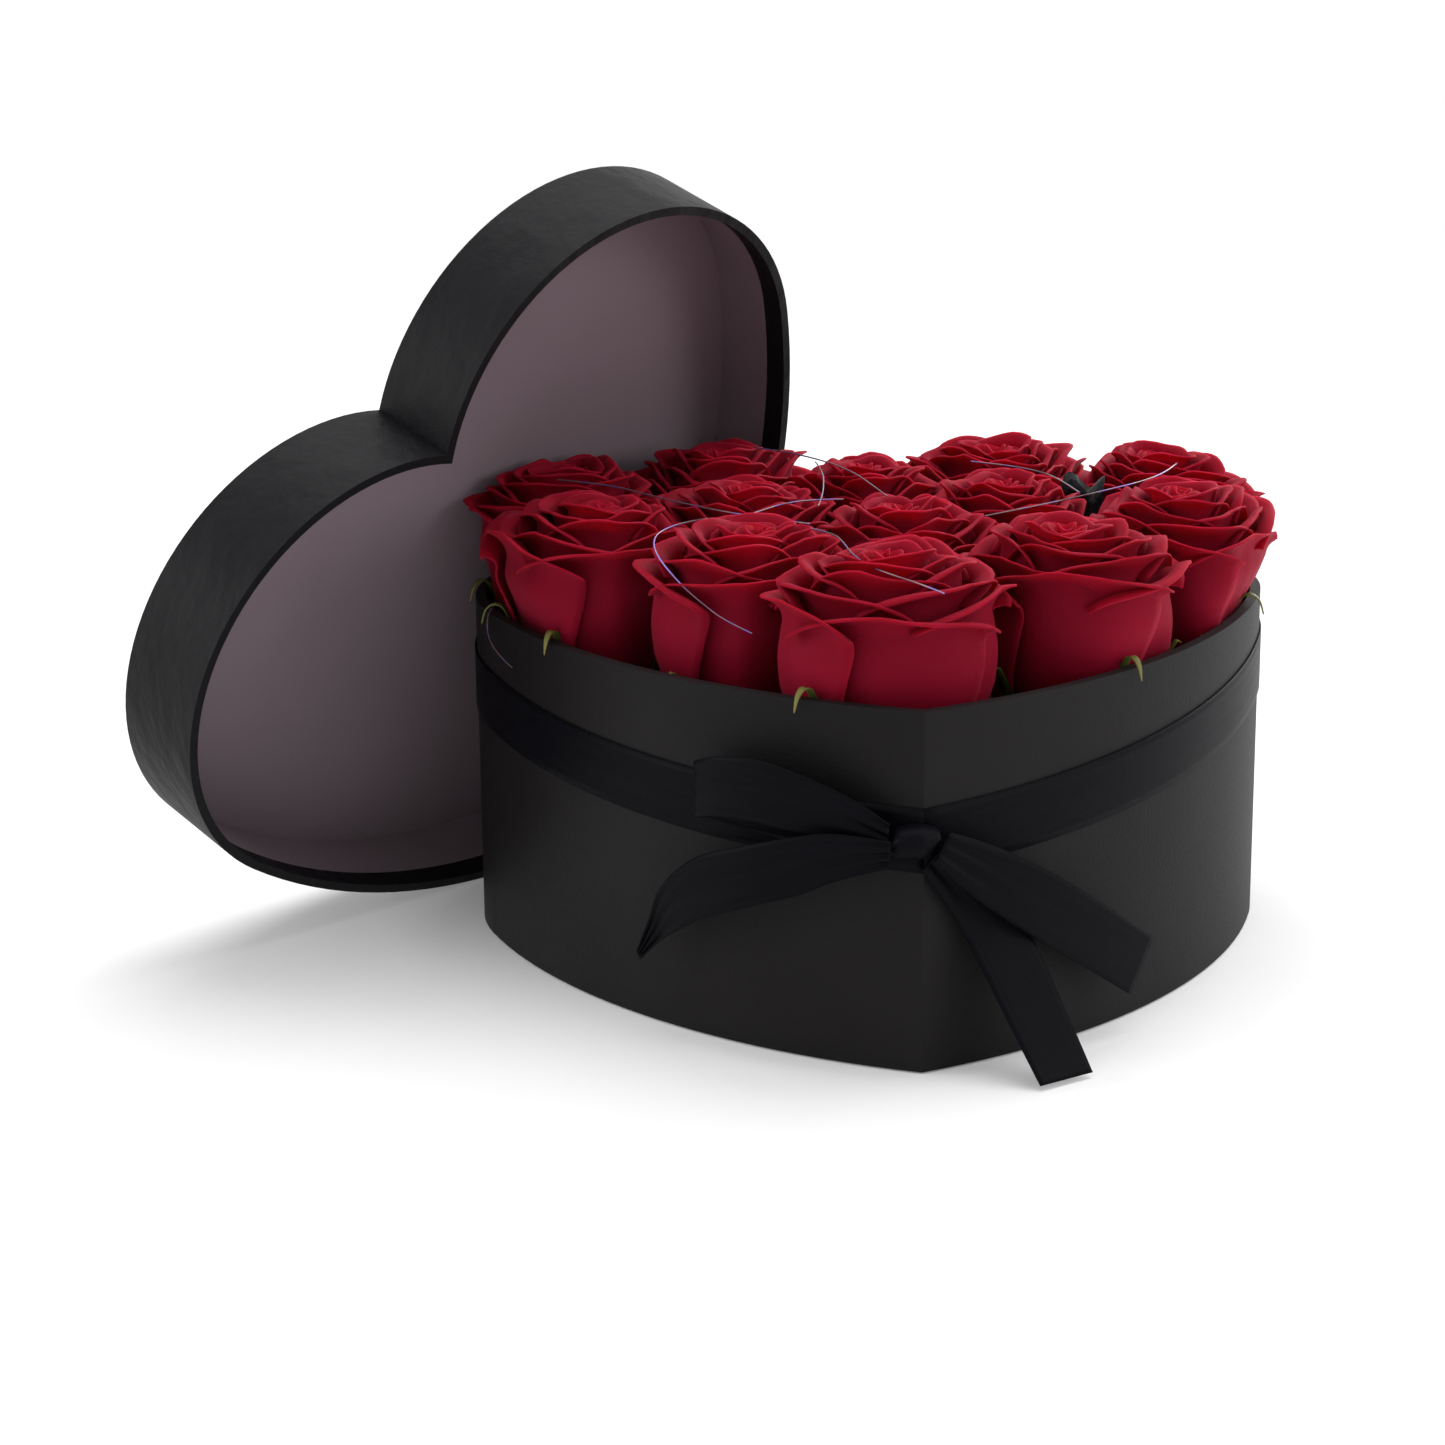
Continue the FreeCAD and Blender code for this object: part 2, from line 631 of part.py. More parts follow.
def ribbon_knot():
    """The knot, hollowed where it bears on the band at the heart's tip."""
    fit = growth_of("glue_line", "paper", "ribbon_gap", "ribbon_thick", "ribbon_gap")
    bearing = new_body("knot_bearing")
    heart_pad(bearing, "bearing", [fit], "0", cell("box_height"))
    block = doc.addObject("Part::Box", "knot_block")
    block.setExpression("Length", cell("knot_width"))
    block.setExpression("Width", cell("knot_depth"))
    block.setExpression("Height", cell("knot_height"))
    tip = wall_point(1, 0, size("knot_level"), fit[1])
    corner = Vector(size("knot_width") / 2, size("knot_bulge"), size("knot_height") / 2)
    block.Placement = Placement(tip + Vector(size("knot_across"), 0, 0) - corner, Rotation())
    soft = doc.addObject("Part::Fillet", "knot_soft")
    soft.Base = block
    soft.Edges = [(edge, size("knot_round"), size("knot_round")) for edge in range(1, 13)]
    knot = doc.addObject("Part::Cut", "ribbon_knot")
    knot.Base = soft
    knot.Tool = bearing
    keep(knot, "ribbon_knot")


# stations of the bow's strips: along the wall from the tip, height, standoff,
# share of the ribbon's width, and the width's angle up from the wall's run
BOW = {
    "ribbon_loop": (-1, ((6.3, 57.2, 6.0, 0.45, 95), (14.4, 60.7, 8.0, 0.7, 104),
                         (25.4, 63.4, 9.5, 0.95, 102), (36, 65.3, 10.0, 1.0, 98),
                         (46, 65.2, 9.2, 1.0, 94), (52.2, 63.6, 7.4, 1.0, 92),
                         (53.3, 62, 5.6, 1.0, 91), (51, 60.4, 4.2, 1.0, 93),
                         (43, 58.2, 3.2, 0.95, 96), (28.5, 56.5, 2.6, 0.8, 94),
                         (8.2, 55.5, 2.6, 0.45, 92))),
    "ribbon_tail_left": (-1, ((5.2, 54.2, 8.2, 0.4, 92), (16.6, 52.6, 10.2, 0.75, 94),
                              (24.7, 50, 11.5, 0.95, 94), (38.7, 45, 12.0, 1.0, 92),
                              (50.4, 39.9, 11.0, 1.0, 86), (59.9, 32.4, 9.5, 0.75, 74),
                              (64.3, 26.3, 8.5, 0.4, 64), (69.4, 18.7, 8.0, 0.12, 55))),
    "ribbon_tail_short": (1, ((1.5, 55.4, 6.2, 0.5, 60), (12, 48, 8.0, 0.85, 56),
                              (26, 38.2, 8.8, 1.0, 55), (41.8, 27, 8.8, 1.0, 55),
                              (57.8, 15.7, 8.8, 1.0, 55))),
    "ribbon_tail_long": (1, ((1.0, 52, 2.6, 0.5, 42), (12.6, 39.3, 3.4, 0.9, 36),
                             (17.6, 28, 7.2, 1.0, 20), (20.7, 13.8, 15.0, 1.0, 10),
                             (23, 0.9, 22.5, 1.0, 0))),
}


STRIP_STEPS = 3


def eased(stations, steps):
    """The same stations with more between them, on a smooth curve through each."""
    rows = []
    last = len(stations) - 1
    for number in range(last):
        picks = [stations[min(max(number + offset, 0), last)] for offset in (-1, 0, 1, 2)]
        for step in range(steps):
            part = step / steps
            weights = (
                (-part + 2 * part ** 2 - part ** 3) / 2,
                (2 - 5 * part ** 2 + 3 * part ** 3) / 2,
                (part + 4 * part ** 2 - 3 * part ** 3) / 2,
                (part ** 3 - part ** 2) / 2,
            )
            rows.append([sum(w * row[item] for w, row in zip(weights, picks)) for item in range(5)])
    return rows + [list(stations[-1])]


def strip(side, stations):
    """A length of ribbon, as a ruled loft through thin upright sections."""
    stations = eased(stations, STRIP_STEPS)
    spots = [wall_point(side, along, height, standoff) for along, height, standoff, *rest in stations]
    wires = []
    for number, (along, height, standoff, share, angle) in enumerate(stations):
        spot = spots[number]
        run = spots[min(number + 1, len(spots) - 1)] - spots[max(number - 1, 0)]
        level = wall_point(side, along + 1, height, standoff) - spot
        level.normalize()
        across = level * math.cos(math.radians(angle)) + Vector(0, 0, math.sin(math.radians(angle)))
        through = run.cross(across)
        through.normalize()
        half = across * (share * size("ribbon_width") / 2)
        skin = through * (size("ribbon_thick") / 2)
        corners = [spot - half - skin, spot + half - skin, spot + half + skin, spot - half + skin]
        wires.append(Part.makePolygon(corners + corners[:1]))
    return Part.makeLoft(wires, True, True)


def bow_pieces():
    """The bow's loop and its three tails."""
    for name, (side, stations) in BOW.items():
        piece = doc.addObject("Part::Feature", name)
        piece.Shape = strip(side, stations)
        keep(piece, name)


def tissue_piece():
    """The twist of black tissue that shows in the gap between four roses."""
    cone = doc.addObject("Part::Cone", "tissue_tuft")
    cone.setExpression("Radius1", cell("tissue_foot_radius"))
    cone.setExpression("Radius2", cell("tissue_radius"))
    cone.setExpression("Height", cell("tissue_height"))
    cone.Placement = Placement(Vector(size("tissue_across"), size("tissue_back"), FOAM_TOP), Rotation())
    keep(cone, "tissue_tuft")


# Loose iridescent threads over the roses and the rim: the level that each is measured from,
# and its points
THREADS = (
    (FOAM_TOP, ((-78.9, 5.1, 51.2), (-65.7, -2.6, 51.2), (-56.7, -16.1, 51.2), (-47.8, -27.9, 51.2),
                (-38.7, -38.4, 51.2), (-29, -46.4, 51.2), (-19.5, -54, 51.2))),
    (FOAM_TOP, ((-12, 17, 52.1), (-11.3, 3.3, 52.1), (-12.4, -11, 52.1), (-14, -25.5, 52.1),
                (-16.2, -38, 52.1))),
    (FOAM_TOP, ((-33.2, -38.8, 50.5), (-29.9, -34.5, 50.5), (-23.9, -26.5, 50.5),
                (-16.5, -22.6, 50.5), (-8.5, -22.9, 50.5))),
    (FOAM_TOP, ((-43.7, -49.5, 52.1), (-47.4, -52.5, 52.3), (-53, -58.5, 52.4), (-57.6, -67, 52),
                (-57.5, -72.2, 49), (-53, -78.6, 44.1), (-47.2, -82, 39.1), (-41.5, -84.3, 35.1),
                (-35.8, -85.8, 32.6))),
    (FOAM_TOP, ((-20, -64, 52.3), (-15.4, -70, 52.3), (-14, -79, 52.2), (-13.3, -88.5, 51.9),
                (-10.8, -97.5, 51.1), (-5.8, -105, 50.3), (0.5, -110.8, 49.3), (5, -116, 48.3))),
    (FOAM_TOP, ((-26.8, 32.5, 53.2), (-17.4, 24, 53.2), (-9, 11, 53.1), (-4, -3, 53.1),
                (-1, -17.5, 52.9), (1.5, -31, 52.6))),
    (FOAM_TOP, ((28.9, 20.3, 50.7), (38.4, 13.9, 50.7), (46.1, 3.2, 50.7), (49, -10, 50.7),
                (50.5, -22, 50.7))),
    (FOAM_TOP, ((23.1, -49.3, 51.2), (33.4, -41.5, 51.2), (45.1, -34, 51.6), (57, -24.5, 51.8),
                (67.5, -13.5, 51.4), (76, -1.5, 51.2), (81, 10, 51.2))),
    (BOX_TOP, ((-90.2, -11.8, 3), (-93.5, -16, 1.8), (-97, -21, 1.1), (-97.6, -25.5, -4.2),
               (-94.8, -32, -8), (-91.5, -38.8, -9.4))),
)
BEND_SHARE = 0.45


def thread_route(points):
    """A route of straight runs joined by tangent arcs as large as the runs allow."""
    edges = []
    radii = []
    last = points[0]
    for before, corner, after in zip(points, points[1:], points[2:]):
        come = (corner - before).normalize()
        leave = (after - corner).normalize()
        trim = BEND_SHARE * min(corner.distanceToPoint(before), corner.distanceToPoint(after))
        half_turn = come.getAngle(leave) / 2
        radius = trim / math.tan(half_turn)
        inward = (leave - come).normalize()
        middle = corner + inward * (radius / math.cos(half_turn) - radius)
        start, end = corner - come * trim, corner + leave * trim
        edges.append(Part.LineSegment(last, start).toShape())
        edges.append(Part.Arc(start, middle, end).toShape())
        radii.append(round(radius, 1))
        last = end
    edges.append(Part.LineSegment(last, points[-1]).toShape())
    return Part.Wire(edges), radii


def thread_pieces():
    """Each thread, as a round tube along its route."""
    for number, (level, places) in enumerate(THREADS, start=1):
        points = [Vector(x, y, level + above) for x, y, above in places]
        route, radii = thread_route(points)
        ring = Part.makeCircle(size("thread") / 2, points[0], points[1] - points[0])
        piece = doc.addObject("Part::Feature", f"thread_{number}")
        piece.Shape = route.makePipeShell([Part.Wire(ring)], True, False)
        keep(piece, f"thread_{number}")
        expected = math.pi * size("thread") ** 2 / 4 * route.Length
        share = piece.Shape.Volume / expected
        print(f"thread_{number}: {route.Length:.1f} long, volume share {share:.3f}, radii {radii}")


box_pieces()
lid_pieces()
foam_piece()
rose_pieces()
ribbon_band()
ribbon_knot()
bow_pieces()
tissue_piece()
thread_pieces()

doc.recompute()
for thing in doc.Objects:
    if "Invalid" in thing.State or "Error" in thing.State:
        raise RuntimeError(f"{thing.Label} did not build: {thing.State}")
for thing in subparts:
    if thing.Shape.isNull() or not thing.Shape.isValid():
        raise RuntimeError(f"{thing.Label} has no valid shape")

os.makedirs("parts", exist_ok=True)
for thing in subparts:
    thing.Shape.exportStep(f"parts/{thing.Label}.step")
    print(thing.Label, len(thing.Shape.Solids), round(thing.Shape.Volume, 1))
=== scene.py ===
"""Looks for the heart-shaped box of soap roses: petals, ribbon, paper, threads, light and camera."""
import math
import random

import bpy
from mathutils import Matrix, Vector


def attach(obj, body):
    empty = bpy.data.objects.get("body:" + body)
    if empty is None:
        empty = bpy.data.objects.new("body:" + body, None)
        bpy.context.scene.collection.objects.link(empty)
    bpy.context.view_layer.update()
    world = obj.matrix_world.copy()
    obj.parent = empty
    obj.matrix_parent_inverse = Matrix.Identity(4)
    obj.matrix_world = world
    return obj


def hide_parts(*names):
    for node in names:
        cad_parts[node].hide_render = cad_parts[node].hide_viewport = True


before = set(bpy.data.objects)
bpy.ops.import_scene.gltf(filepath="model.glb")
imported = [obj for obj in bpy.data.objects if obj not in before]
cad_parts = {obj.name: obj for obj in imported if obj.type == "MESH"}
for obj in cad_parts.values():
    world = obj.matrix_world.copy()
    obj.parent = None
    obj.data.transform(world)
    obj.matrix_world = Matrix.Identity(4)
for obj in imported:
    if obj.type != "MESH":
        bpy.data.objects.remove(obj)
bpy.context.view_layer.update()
MM = 0.001

# The model's own sizes, in millimetres
LOBE = 44.0
LOBE_RADIUS = 56.0
SIDE_RADIUS = 167.0
SIDE_START = math.radians(16.8)
SIDE_X = LOBE - (SIDE_RADIUS - LOBE_RADIUS) * math.cos(SIDE_START)
SIDE_Y = (SIDE_RADIUS - LOBE_RADIUS) * math.sin(SIDE_START)
TIP_ANGLE = -math.acos(-SIDE_X / SIDE_RADIUS)
BOX_TOP = 85.4
WALL_INSIDE = -2.2
WRAP_OUT = 0.4
FOAM_TOP = 62.4
PAPER = 0.3
RIBBON_WIDTH = 15.0
RIBBON_THICK = 0.4
BAND_OUT = 0.7
BAND_LEVEL = 66.7
BAND_PITCH = math.radians(5.2)
BAND_ROLL = math.radians(-1.1)
KNOT_BEARING = 1.0
LID_AXIS = Vector((-0.6414, 0.7, 0.314)).normalized()
TISSUE_SPOT = (56.0, 8.0)
TISSUE_RADIUS = 6.0
TISSUE_FOOT = 3.0
TISSUE_HEIGHT = 49.0
ROSE_SPOTS = {
    1: (-5, -87), 2: (4, -36), 3: (0, 15), 4: (40, -62), 5: (33, -9), 6: (38, 36), 7: (-32, -58),
    8: (-32, -11), 9: (-35, 36), 10: (75.5, -24), 11: (77, 21), 12: (-68, -27), 13: (-76, 21),
}
TURN_PER_ROSE = 47
TURN_FURTHER = {10: 54}
HELD_ROSES = (9, 12, 13)


# Shading helpers

class Shade:
    """A material with its nodes at hand."""

    def __init__(self, name):
        self.material = bpy.data.materials.new(name)
        self.material.use_nodes = True
        self.tree = self.material.node_tree
        self.surface = self.tree.nodes["Principled BSDF"]

    def node(self, kind, values=None, **settings):
        """Add a node, set its properties, and set or link its inputs."""
        made = self.tree.nodes.new(kind)
        for name, value in settings.items():
            setattr(made, name, value)
        for name, value in (values or {}).items():
            self.put(made, name, value)
        return made

    def put(self, node, name, value):
        """Set an input, or link it where the value is another node's output."""
        if isinstance(value, bpy.types.NodeSocket):
            self.tree.links.new(value, node.inputs[name])
        else:
            node.inputs[name].default_value = value

    def set(self, **values):
        """Set inputs of the surface, named with underscores for spaces."""
        for name, value in values.items():
            self.put(self.surface, name.replace("_", " "), value)

    def place(self, scale=(1, 1, 1), rotation=(0, 0, 0), source="Object"):
        """Coordinates, turned and scaled."""
        coordinates = self.node("ShaderNodeTexCoord").outputs[source]
        values = {"Vector": coordinates, "Scale": scale, "Rotation": rotation}
        return self.node("ShaderNodeMapping", values).outputs["Vector"]

    def noise(self, vector, scale, detail=3.0, roughness=0.5):
        """A noise value from 0 to 1."""
        values = {"Vector": vector, "Scale": scale, "Detail": detail, "Roughness": roughness}
        return self.node("ShaderNodeTexNoise", values).outputs["Fac"]

    def ramp(self, factor, *stops):
        """A colour ramp through (position, colour) stops."""
        made = self.node("ShaderNodeValToRGB", {"Fac": factor})
        elements = made.color_ramp.elements
        while len(elements) < len(stops):
            elements.new(0.5)
        for element, (position, colour) in zip(elements, stops):
            element.position = position
            element.color = (*colour, 1)
        return made.outputs["Color"]

    def level(self, factor, low, high):
        """A value mapped from 0..1 to low..high."""
        values = {"Value": factor, "To Min": low, "To Max": high}
        return self.node("ShaderNodeMapRange", values).outputs["Result"]

    def bump(self, height, strength, distance, normal=None):
        """Bump, on top of an earlier normal."""
        values = {"Height": height, "Strength": strength, "Distance": distance}
        if normal:
            values["Normal"] = normal
        return self.node("ShaderNodeBump", values).outputs["Normal"]


def black_paper(name, tone, creases=0.0):
    """Matt black wrapping paper: fibre grain, faint mottling and, where asked, creases of a strength."""
    shade = Shade(name)
    place = shade.place()
    mottle = shade.noise(place, 22, 4)
    fibre = shade.noise(place, 1400, 2)
    low, high = tone
    shade.set(Base_Color=shade.ramp(mottle, (0.3, low), (0.75, high)))
    shade.set(Roughness=shade.level(fibre, 0.46, 0.6), Specular_IOR_Level=0.1)
    normal = shade.bump(fibre, 0.35, 0.0002)
    if creases:
        turned = shade.place((75, 75, 38), lid_turn())
        normal = shade.bump(shade.noise(turned, 1.0, 3), creases, 0.003, normal)
    shade.set(Normal=normal)
    return shade.material


def lid_turn():
    """The turn that brings the lid's own axis upright."""
    return LID_AXIS.rotation_difference(Vector((0, 0, 1))).to_euler()


def lining_paper():
    """Dusky grey lining paper, slightly cockled, tinted pink: partly its own mauve and partly painted red
    light from the roses.
    """
    shade = Shade("lining_paper")
    place = shade.place()
    mottle = shade.noise(place, 14, 4)
    # the pink in these stops is partly the paper's own mauve and partly painted reflection of the red roses
    shade.set(Base_Color=shade.ramp(mottle, (0.3, (0.215, 0.165, 0.19)), (0.8, (0.24, 0.19, 0.215))))
    shade.set(Roughness=0.75, Specular_IOR_Level=0.1)
    normal = shade.bump(shade.noise(place, 34, 2), 0.25, 0.002)
    shade.set(Normal=shade.bump(shade.noise(place, 1500, 2), 0.2, 0.0002, normal))
    return shade.material


def board():
    """Grey board with flecks."""
    shade = Shade("grey_board")
    fleck = shade.noise(shade.place(), 600, 4, 0.7)
    shade.set(Base_Color=shade.ramp(fleck, (0.35, (0.10, 0.09, 0.08)), (0.7, (0.20, 0.19, 0.17))))
    shade.set(Roughness=0.9, Normal=shade.bump(fleck, 0.4, 0.0003))
    return shade.material


def foam():
    """Green flower foam with open cells."""
    shade = Shade("flower_foam")
    cells = shade.node("ShaderNodeTexVoronoi", {"Vector": shade.place(), "Scale": 900.0}).outputs["Distance"]
    shade.set(Base_Color=shade.ramp(cells, (0.1, (0.015, 0.035, 0.015)), (0.7, (0.05, 0.10, 0.045))))
    shade.set(Roughness=0.95, Normal=shade.bump(cells, 0.6, 0.0006))
    return shade.material


def petal_soap():
    """Soft matt soap petals, with painted light: a brighter, bluer red low in the petals and in the folds,
    where shade falls, than on the lips.
    """
    shade = Shade("petal_soap")
    place = shade.place()
    lip = shade.node("ShaderNodeAttribute", attribute_name="lip").outputs["Fac"]
    mottle = shade.noise(place, 55, 4, 0.6)
    mixed = shade.node("ShaderNodeMath", {0: lip, 1: shade.level(mottle, -0.1, 0.1)}, operation="ADD")
    # painted light: the stops for the petals' feet and folds are brighter and bluer than the lips' stops, to
    # lift the shade that falls there
    colour = shade.ramp(
        mixed.outputs["Value"],
        (0.0, (0.32, 0.003, 0.024)),
        (0.45, (0.235, 0.004, 0.019)),
        (0.9, (0.245, 0.0032, 0.016)),
        (1.0, (0.26, 0.004, 0.018)),
    )
    veins = shade.node("ShaderNodeAttribute", attribute_name="vein").outputs["Fac"]
    ribs = shade.node("ShaderNodeMath", {0: veins, 1: 70.0}, operation="MULTIPLY").outputs["Value"]
    ribs = shade.node("ShaderNodeMath", {0: ribs}, operation="SINE").outputs["Value"]
    normal = shade.bump(ribs, 0.03, 0.0002)
    normal = shade.bump(shade.noise(place, 420, 3), 0.18, 0.0005, normal)
    shade.set(Base_Color=colour, Roughness=0.68, Specular_IOR_Level=0.05, Normal=normal)
    shade.set(Sheen_Weight=0.06, Sheen_Roughness=0.45, Sheen_Tint=(1.0, 0.3, 0.35, 1))
    shade.set(Subsurface_Weight=0.5, Subsurface_Scale=0.004, Subsurface_Radius=(1.0, 0.12, 0.15))
    return shade.material


def satin():
    """Black satin ribbon with a fine warp along it and a weft across."""
    shade = Shade("satin_ribbon")
    place = shade.place(source="UV")
    warp = shade.node(
        "ShaderNodeTexWave", {"Vector": place, "Scale": 900.0, "Distortion": 1.5, "Detail": 1.0},
        bands_direction="Y",
    ).outputs["Fac"]
    weft = shade.node(
        "ShaderNodeTexWave", {"Vector": place, "Scale": 700.0, "Distortion": 0.6, "Detail": 1.0},
        bands_direction="X",
    ).outputs["Fac"]
    streak = shade.noise(shade.place((30, 700, 1), source="UV"), 1.0, 3)
    colour = shade.ramp(streak, (0.3, (0.0016, 0.0016, 0.0029)), (0.75, (0.0036, 0.0036, 0.0058)))
    shade.set(Base_Color=colour)
    shade.set(Roughness=shade.level(streak, 0.36, 0.5), Specular_IOR_Level=0.05)
    normal = shade.bump(warp, 0.18, 0.00012)
    shade.set(Normal=shade.bump(weft, 0.10, 0.0001, normal))
    return shade.material


def sepal_leaf():
    """Yellow-green moulded leaf with a darker foot."""
    shade = Shade("sepal_leaf")
    lip = shade.node("ShaderNodeAttribute", attribute_name="lip").outputs["Fac"]
    blotch = shade.noise(shade.place(), 260, 3)
    mixed = shade.node("ShaderNodeMath", {0: lip, 1: shade.level(blotch, -0.2, 0.2)}, operation="ADD")
    colour = shade.ramp(
        mixed.outputs["Value"],
        (0.1, (0.025, 0.045, 0.01)),
        (0.6, (0.10, 0.115, 0.022)),
        (1.0, (0.21, 0.185, 0.055)),
    )
    shade.set(Base_Color=colour, Roughness=0.5, Specular_IOR_Level=0.2)
    shade.set(Normal=shade.bump(blotch, 0.3, 0.0004))
    return shade.material


def tissue_paper():
    """Thin black tissue with a soft shine on its creases."""
    shade = Shade("tissue_paper")
    crumple = shade.noise(shade.place(), 210, 4, 0.6)
    shade.set(Base_Color=shade.ramp(crumple, (0.3, (0.004, 0.004, 0.005)), (0.8, (0.012, 0.012, 0.014))))
    shade.set(Roughness=0.5, Specular_IOR_Level=0.1, Normal=shade.bump(crumple, 0.8, 0.002))
    return shade.material


def film_thread():
    """Thin iridescent film, pale, with painted light: narrow violet-blue stretches are painted glints and
    dim red-brown stretches paint the red roses' light in the film.
    """
    shade = Shade("film_thread")
    along = shade.noise(shade.place(), 70, 2)
    # painted light: the violet-blue stop is a painted glint, and the dim red-brown stop paints the red of
    # the roses under the thread
    colour = shade.ramp(
        along,
        (0.35, (0.13, 0.05, 0.07)),
        (0.5, (0.24, 0.17, 0.2)),
        (0.56, (0.16, 0.11, 0.42)),
        (0.62, (0.24, 0.13, 0.18)),
    )
    shade.set(Base_Color=colour, Metallic=0.55, Roughness=0.22)
    return shade.material


# Mesh helpers

def new_piece(name, points, faces, material, body, attributes=None, uvs=None):
    """A smooth mesh piece, from millimetres, that rides on a body."""
    mesh = bpy.data.meshes.new(name)
    mesh.from_pydata([Vector(point) * MM for point in points], [], faces)
    mesh.polygons.foreach_set("use_smooth", [True] * len(mesh.polygons))
    mesh.materials.append(material)
    for label, values in (attributes or {}).items():
        layer = mesh.attributes.new(label, "FLOAT", "POINT")
        layer.data.foreach_set("value", values)
    if uvs:
        layer = mesh.uv_layers.new(name="UVMap")
        for loop in mesh.loops:
            layer.data[loop.index].uv = uvs[loop.vertex_index]
    mesh.update()
    piece = bpy.data.objects.new(name, mesh)
    bpy.context.scene.collection.objects.link(piece)
    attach(piece, body)
    return piece


def thicken(piece, thickness):
    """Give an open sheet its thickness, in millimetres, half to each side."""
    solid = piece.modifiers.new("thickness", "SOLIDIFY")
    solid.thickness = thickness * MM
    solid.offset = 0.0


def grid_faces(rows, columns, start=0, wrap=False):
    """Quads of a grid of points, row by row. A wrapped grid closes on itself across its columns."""
    faces = []
    for row in range(rows - 1):
        for column in range(columns if wrap else columns - 1):
            here = start + row * columns + column
            aside = start + row * columns + (column + 1) % columns
            faces.append((here, aside, aside + columns, here + columns))
    return faces


def curve_weights(part):
    """Weights of four neighbours on a smooth curve through the middle two."""
    return (
        (-part + 2 * part ** 2 - part ** 3) / 2,
        (2 - 5 * part ** 2 + 3 * part ** 3) / 2,
        (part + 4 * part ** 2 - 3 * part ** 3) / 2,
        (part ** 3 - part ** 2) / 2,
    )


def eased(rows, steps):
    """The rows with more between them, on a smooth curve through each."""
    last = len(rows) - 1
    made = []
    for number in range(last):
        picks = [rows[min(max(number + offset, 0), last)] for offset in (-1, 0, 1, 2)]
        for step in range(steps):
            weights = curve_weights(step / steps)
            items = range(len(rows[0]))
            made.append([sum(w * row[item] for w, row in zip(weights, picks)) for item in items])
    return made + [list(rows[-1])]


# The heart and the room that each rose has in it

def in_heart(x, y, growth):
    """Whether a point of the plan lies inside the heart, grown by growth."""
    x = abs(x)
    if (x - LOBE) * math.sin(SIDE_START) + y * math.cos(SIDE_START) > 0:
        return math.hypot(x - LOBE, y) < LOBE_RADIUS + growth
    return math.hypot(x - SIDE_X, y - SIDE_Y) < SIDE_RADIUS + growth


def wall_point(side, along, height, standoff):
    """A point off the box's front wall, along it from the tip."""
    angle = TIP_ANGLE + along / SIDE_RADIUS
    reach = SIDE_RADIUS + standoff
    return Vector((side * (SIDE_X + reach * math.cos(angle)), SIDE_Y + reach * math.sin(angle), height))


WALL_STEP = 0.25


def wall_distance(spot, angle):
    """How far the inside of the wall is from a rose's middle."""
    reach = 0.0
    while in_heart(spot[0] + reach * math.cos(angle), spot[1] + reach * math.sin(angle), WALL_INSIDE):
        reach += WALL_STEP
    return reach


LIP_RADIUS = 27.5
RIM_RADIUS = 25.0
WIDEST = 1.13
OVERHANG = 5.0
ROSE_GAP = 0.8
CELL_ROUNDING = 0.92
FREE_ABOVE_RIM = 11.0
ROOM_STEPS = 72
UNLIMITED = 1000.0
# radii and heights at which a rose keeps clear of the lid
LID_CLEARANCES = ((27.5, 48), (21, 50), (14, 52.5))
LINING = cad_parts["lid_lining"].data
LID_INSIDE = max(vertex.co.dot(LID_AXIS) for vertex in LINING.vertices) / MM - PAPER


def neighbour_room(spot, other, radius, angle):
    """How far a rose may reach towards a neighbour of a radius."""
    dx, dy = other[0] - spot[0], other[1] - spot[1]
    facing = math.cos(angle - math.atan2(dy, dx))
    if facing < 0.1:
        return UNLIMITED
    limit = math.hypot(dx, dy) - radius - ROSE_GAP
    return limit * (1 + CELL_ROUNDING * (1 / facing - 1))


def lid_room(spot, angle, height):
    """How far a rose may reach towards the leaning lid at a height."""
    closing = LID_AXIS.x * math.cos(angle) + LID_AXIS.y * math.sin(angle)
    if closing < 0.05:
        return UNLIMITED
    spare = LID_INSIDE - ROSE_GAP - Vector((*spot, FOAM_TOP + height)).dot(LID_AXIS)
    return spare / closing


class Room:
    """A rose's share of its full width, by plan angle and height."""

    def __init__(self, spot):
        self.spot = spot
        self.shares = [self.measure(step * 2 * math.pi / ROOM_STEPS) for step in range(ROOM_STEPS)]

    def measure(self, angle):
        """The shares inside the box and above its rim."""
        rooms = [WIDEST * LIP_RADIUS, neighbour_room(self.spot, TISSUE_SPOT, TISSUE_RADIUS, angle)]
        for other in ROSE_SPOTS.values():
            apart = math.dist(other, self.spot)
            if apart > 0:
                rooms.append(neighbour_room(self.spot, other, (apart - ROSE_GAP) / 2, angle))
        free = min(rooms) / LIP_RADIUS
        wall = wall_distance(self.spot, angle)
        inside = min(free, (wall - ROSE_GAP) / RIM_RADIUS)
        above = min(free, (wall + WRAP_OUT - WALL_INSIDE + OVERHANG) / LIP_RADIUS)
        for radius, height in LID_CLEARANCES:
            above = min(above, lid_room(self.spot, angle, height) / radius)
        return min(inside, above), above

    def share(self, angle, height):
        """The share at an angle and at a height over the foam."""
        place = angle / (2 * math.pi) % 1.0 * ROOM_STEPS
        before = int(place) % ROOM_STEPS
        after = (before + 1) % ROOM_STEPS
        part = place - int(place)
        inside, above = (
            a * (1 - part) + b * part for a, b in zip(self.shares[before], self.shares[after])
        )
        clear = (FOAM_TOP + height - BOX_TOP) / FREE_ABOVE_RIM
        return inside + (above - inside) * min(max(clear, 0.0), 1.0)


# Roses

# a petal's side, from foot to neck: share of its lip radius, share of its height, half width in degrees
PETAL_SIDE = (
    (0.30, 0.0, 27), (0.64, 0.15, 37), (0.85, 0.42, 46), (0.90, 0.70, 52), (0.88, 0.89, 55), (0.86, 1.0, 55),
)
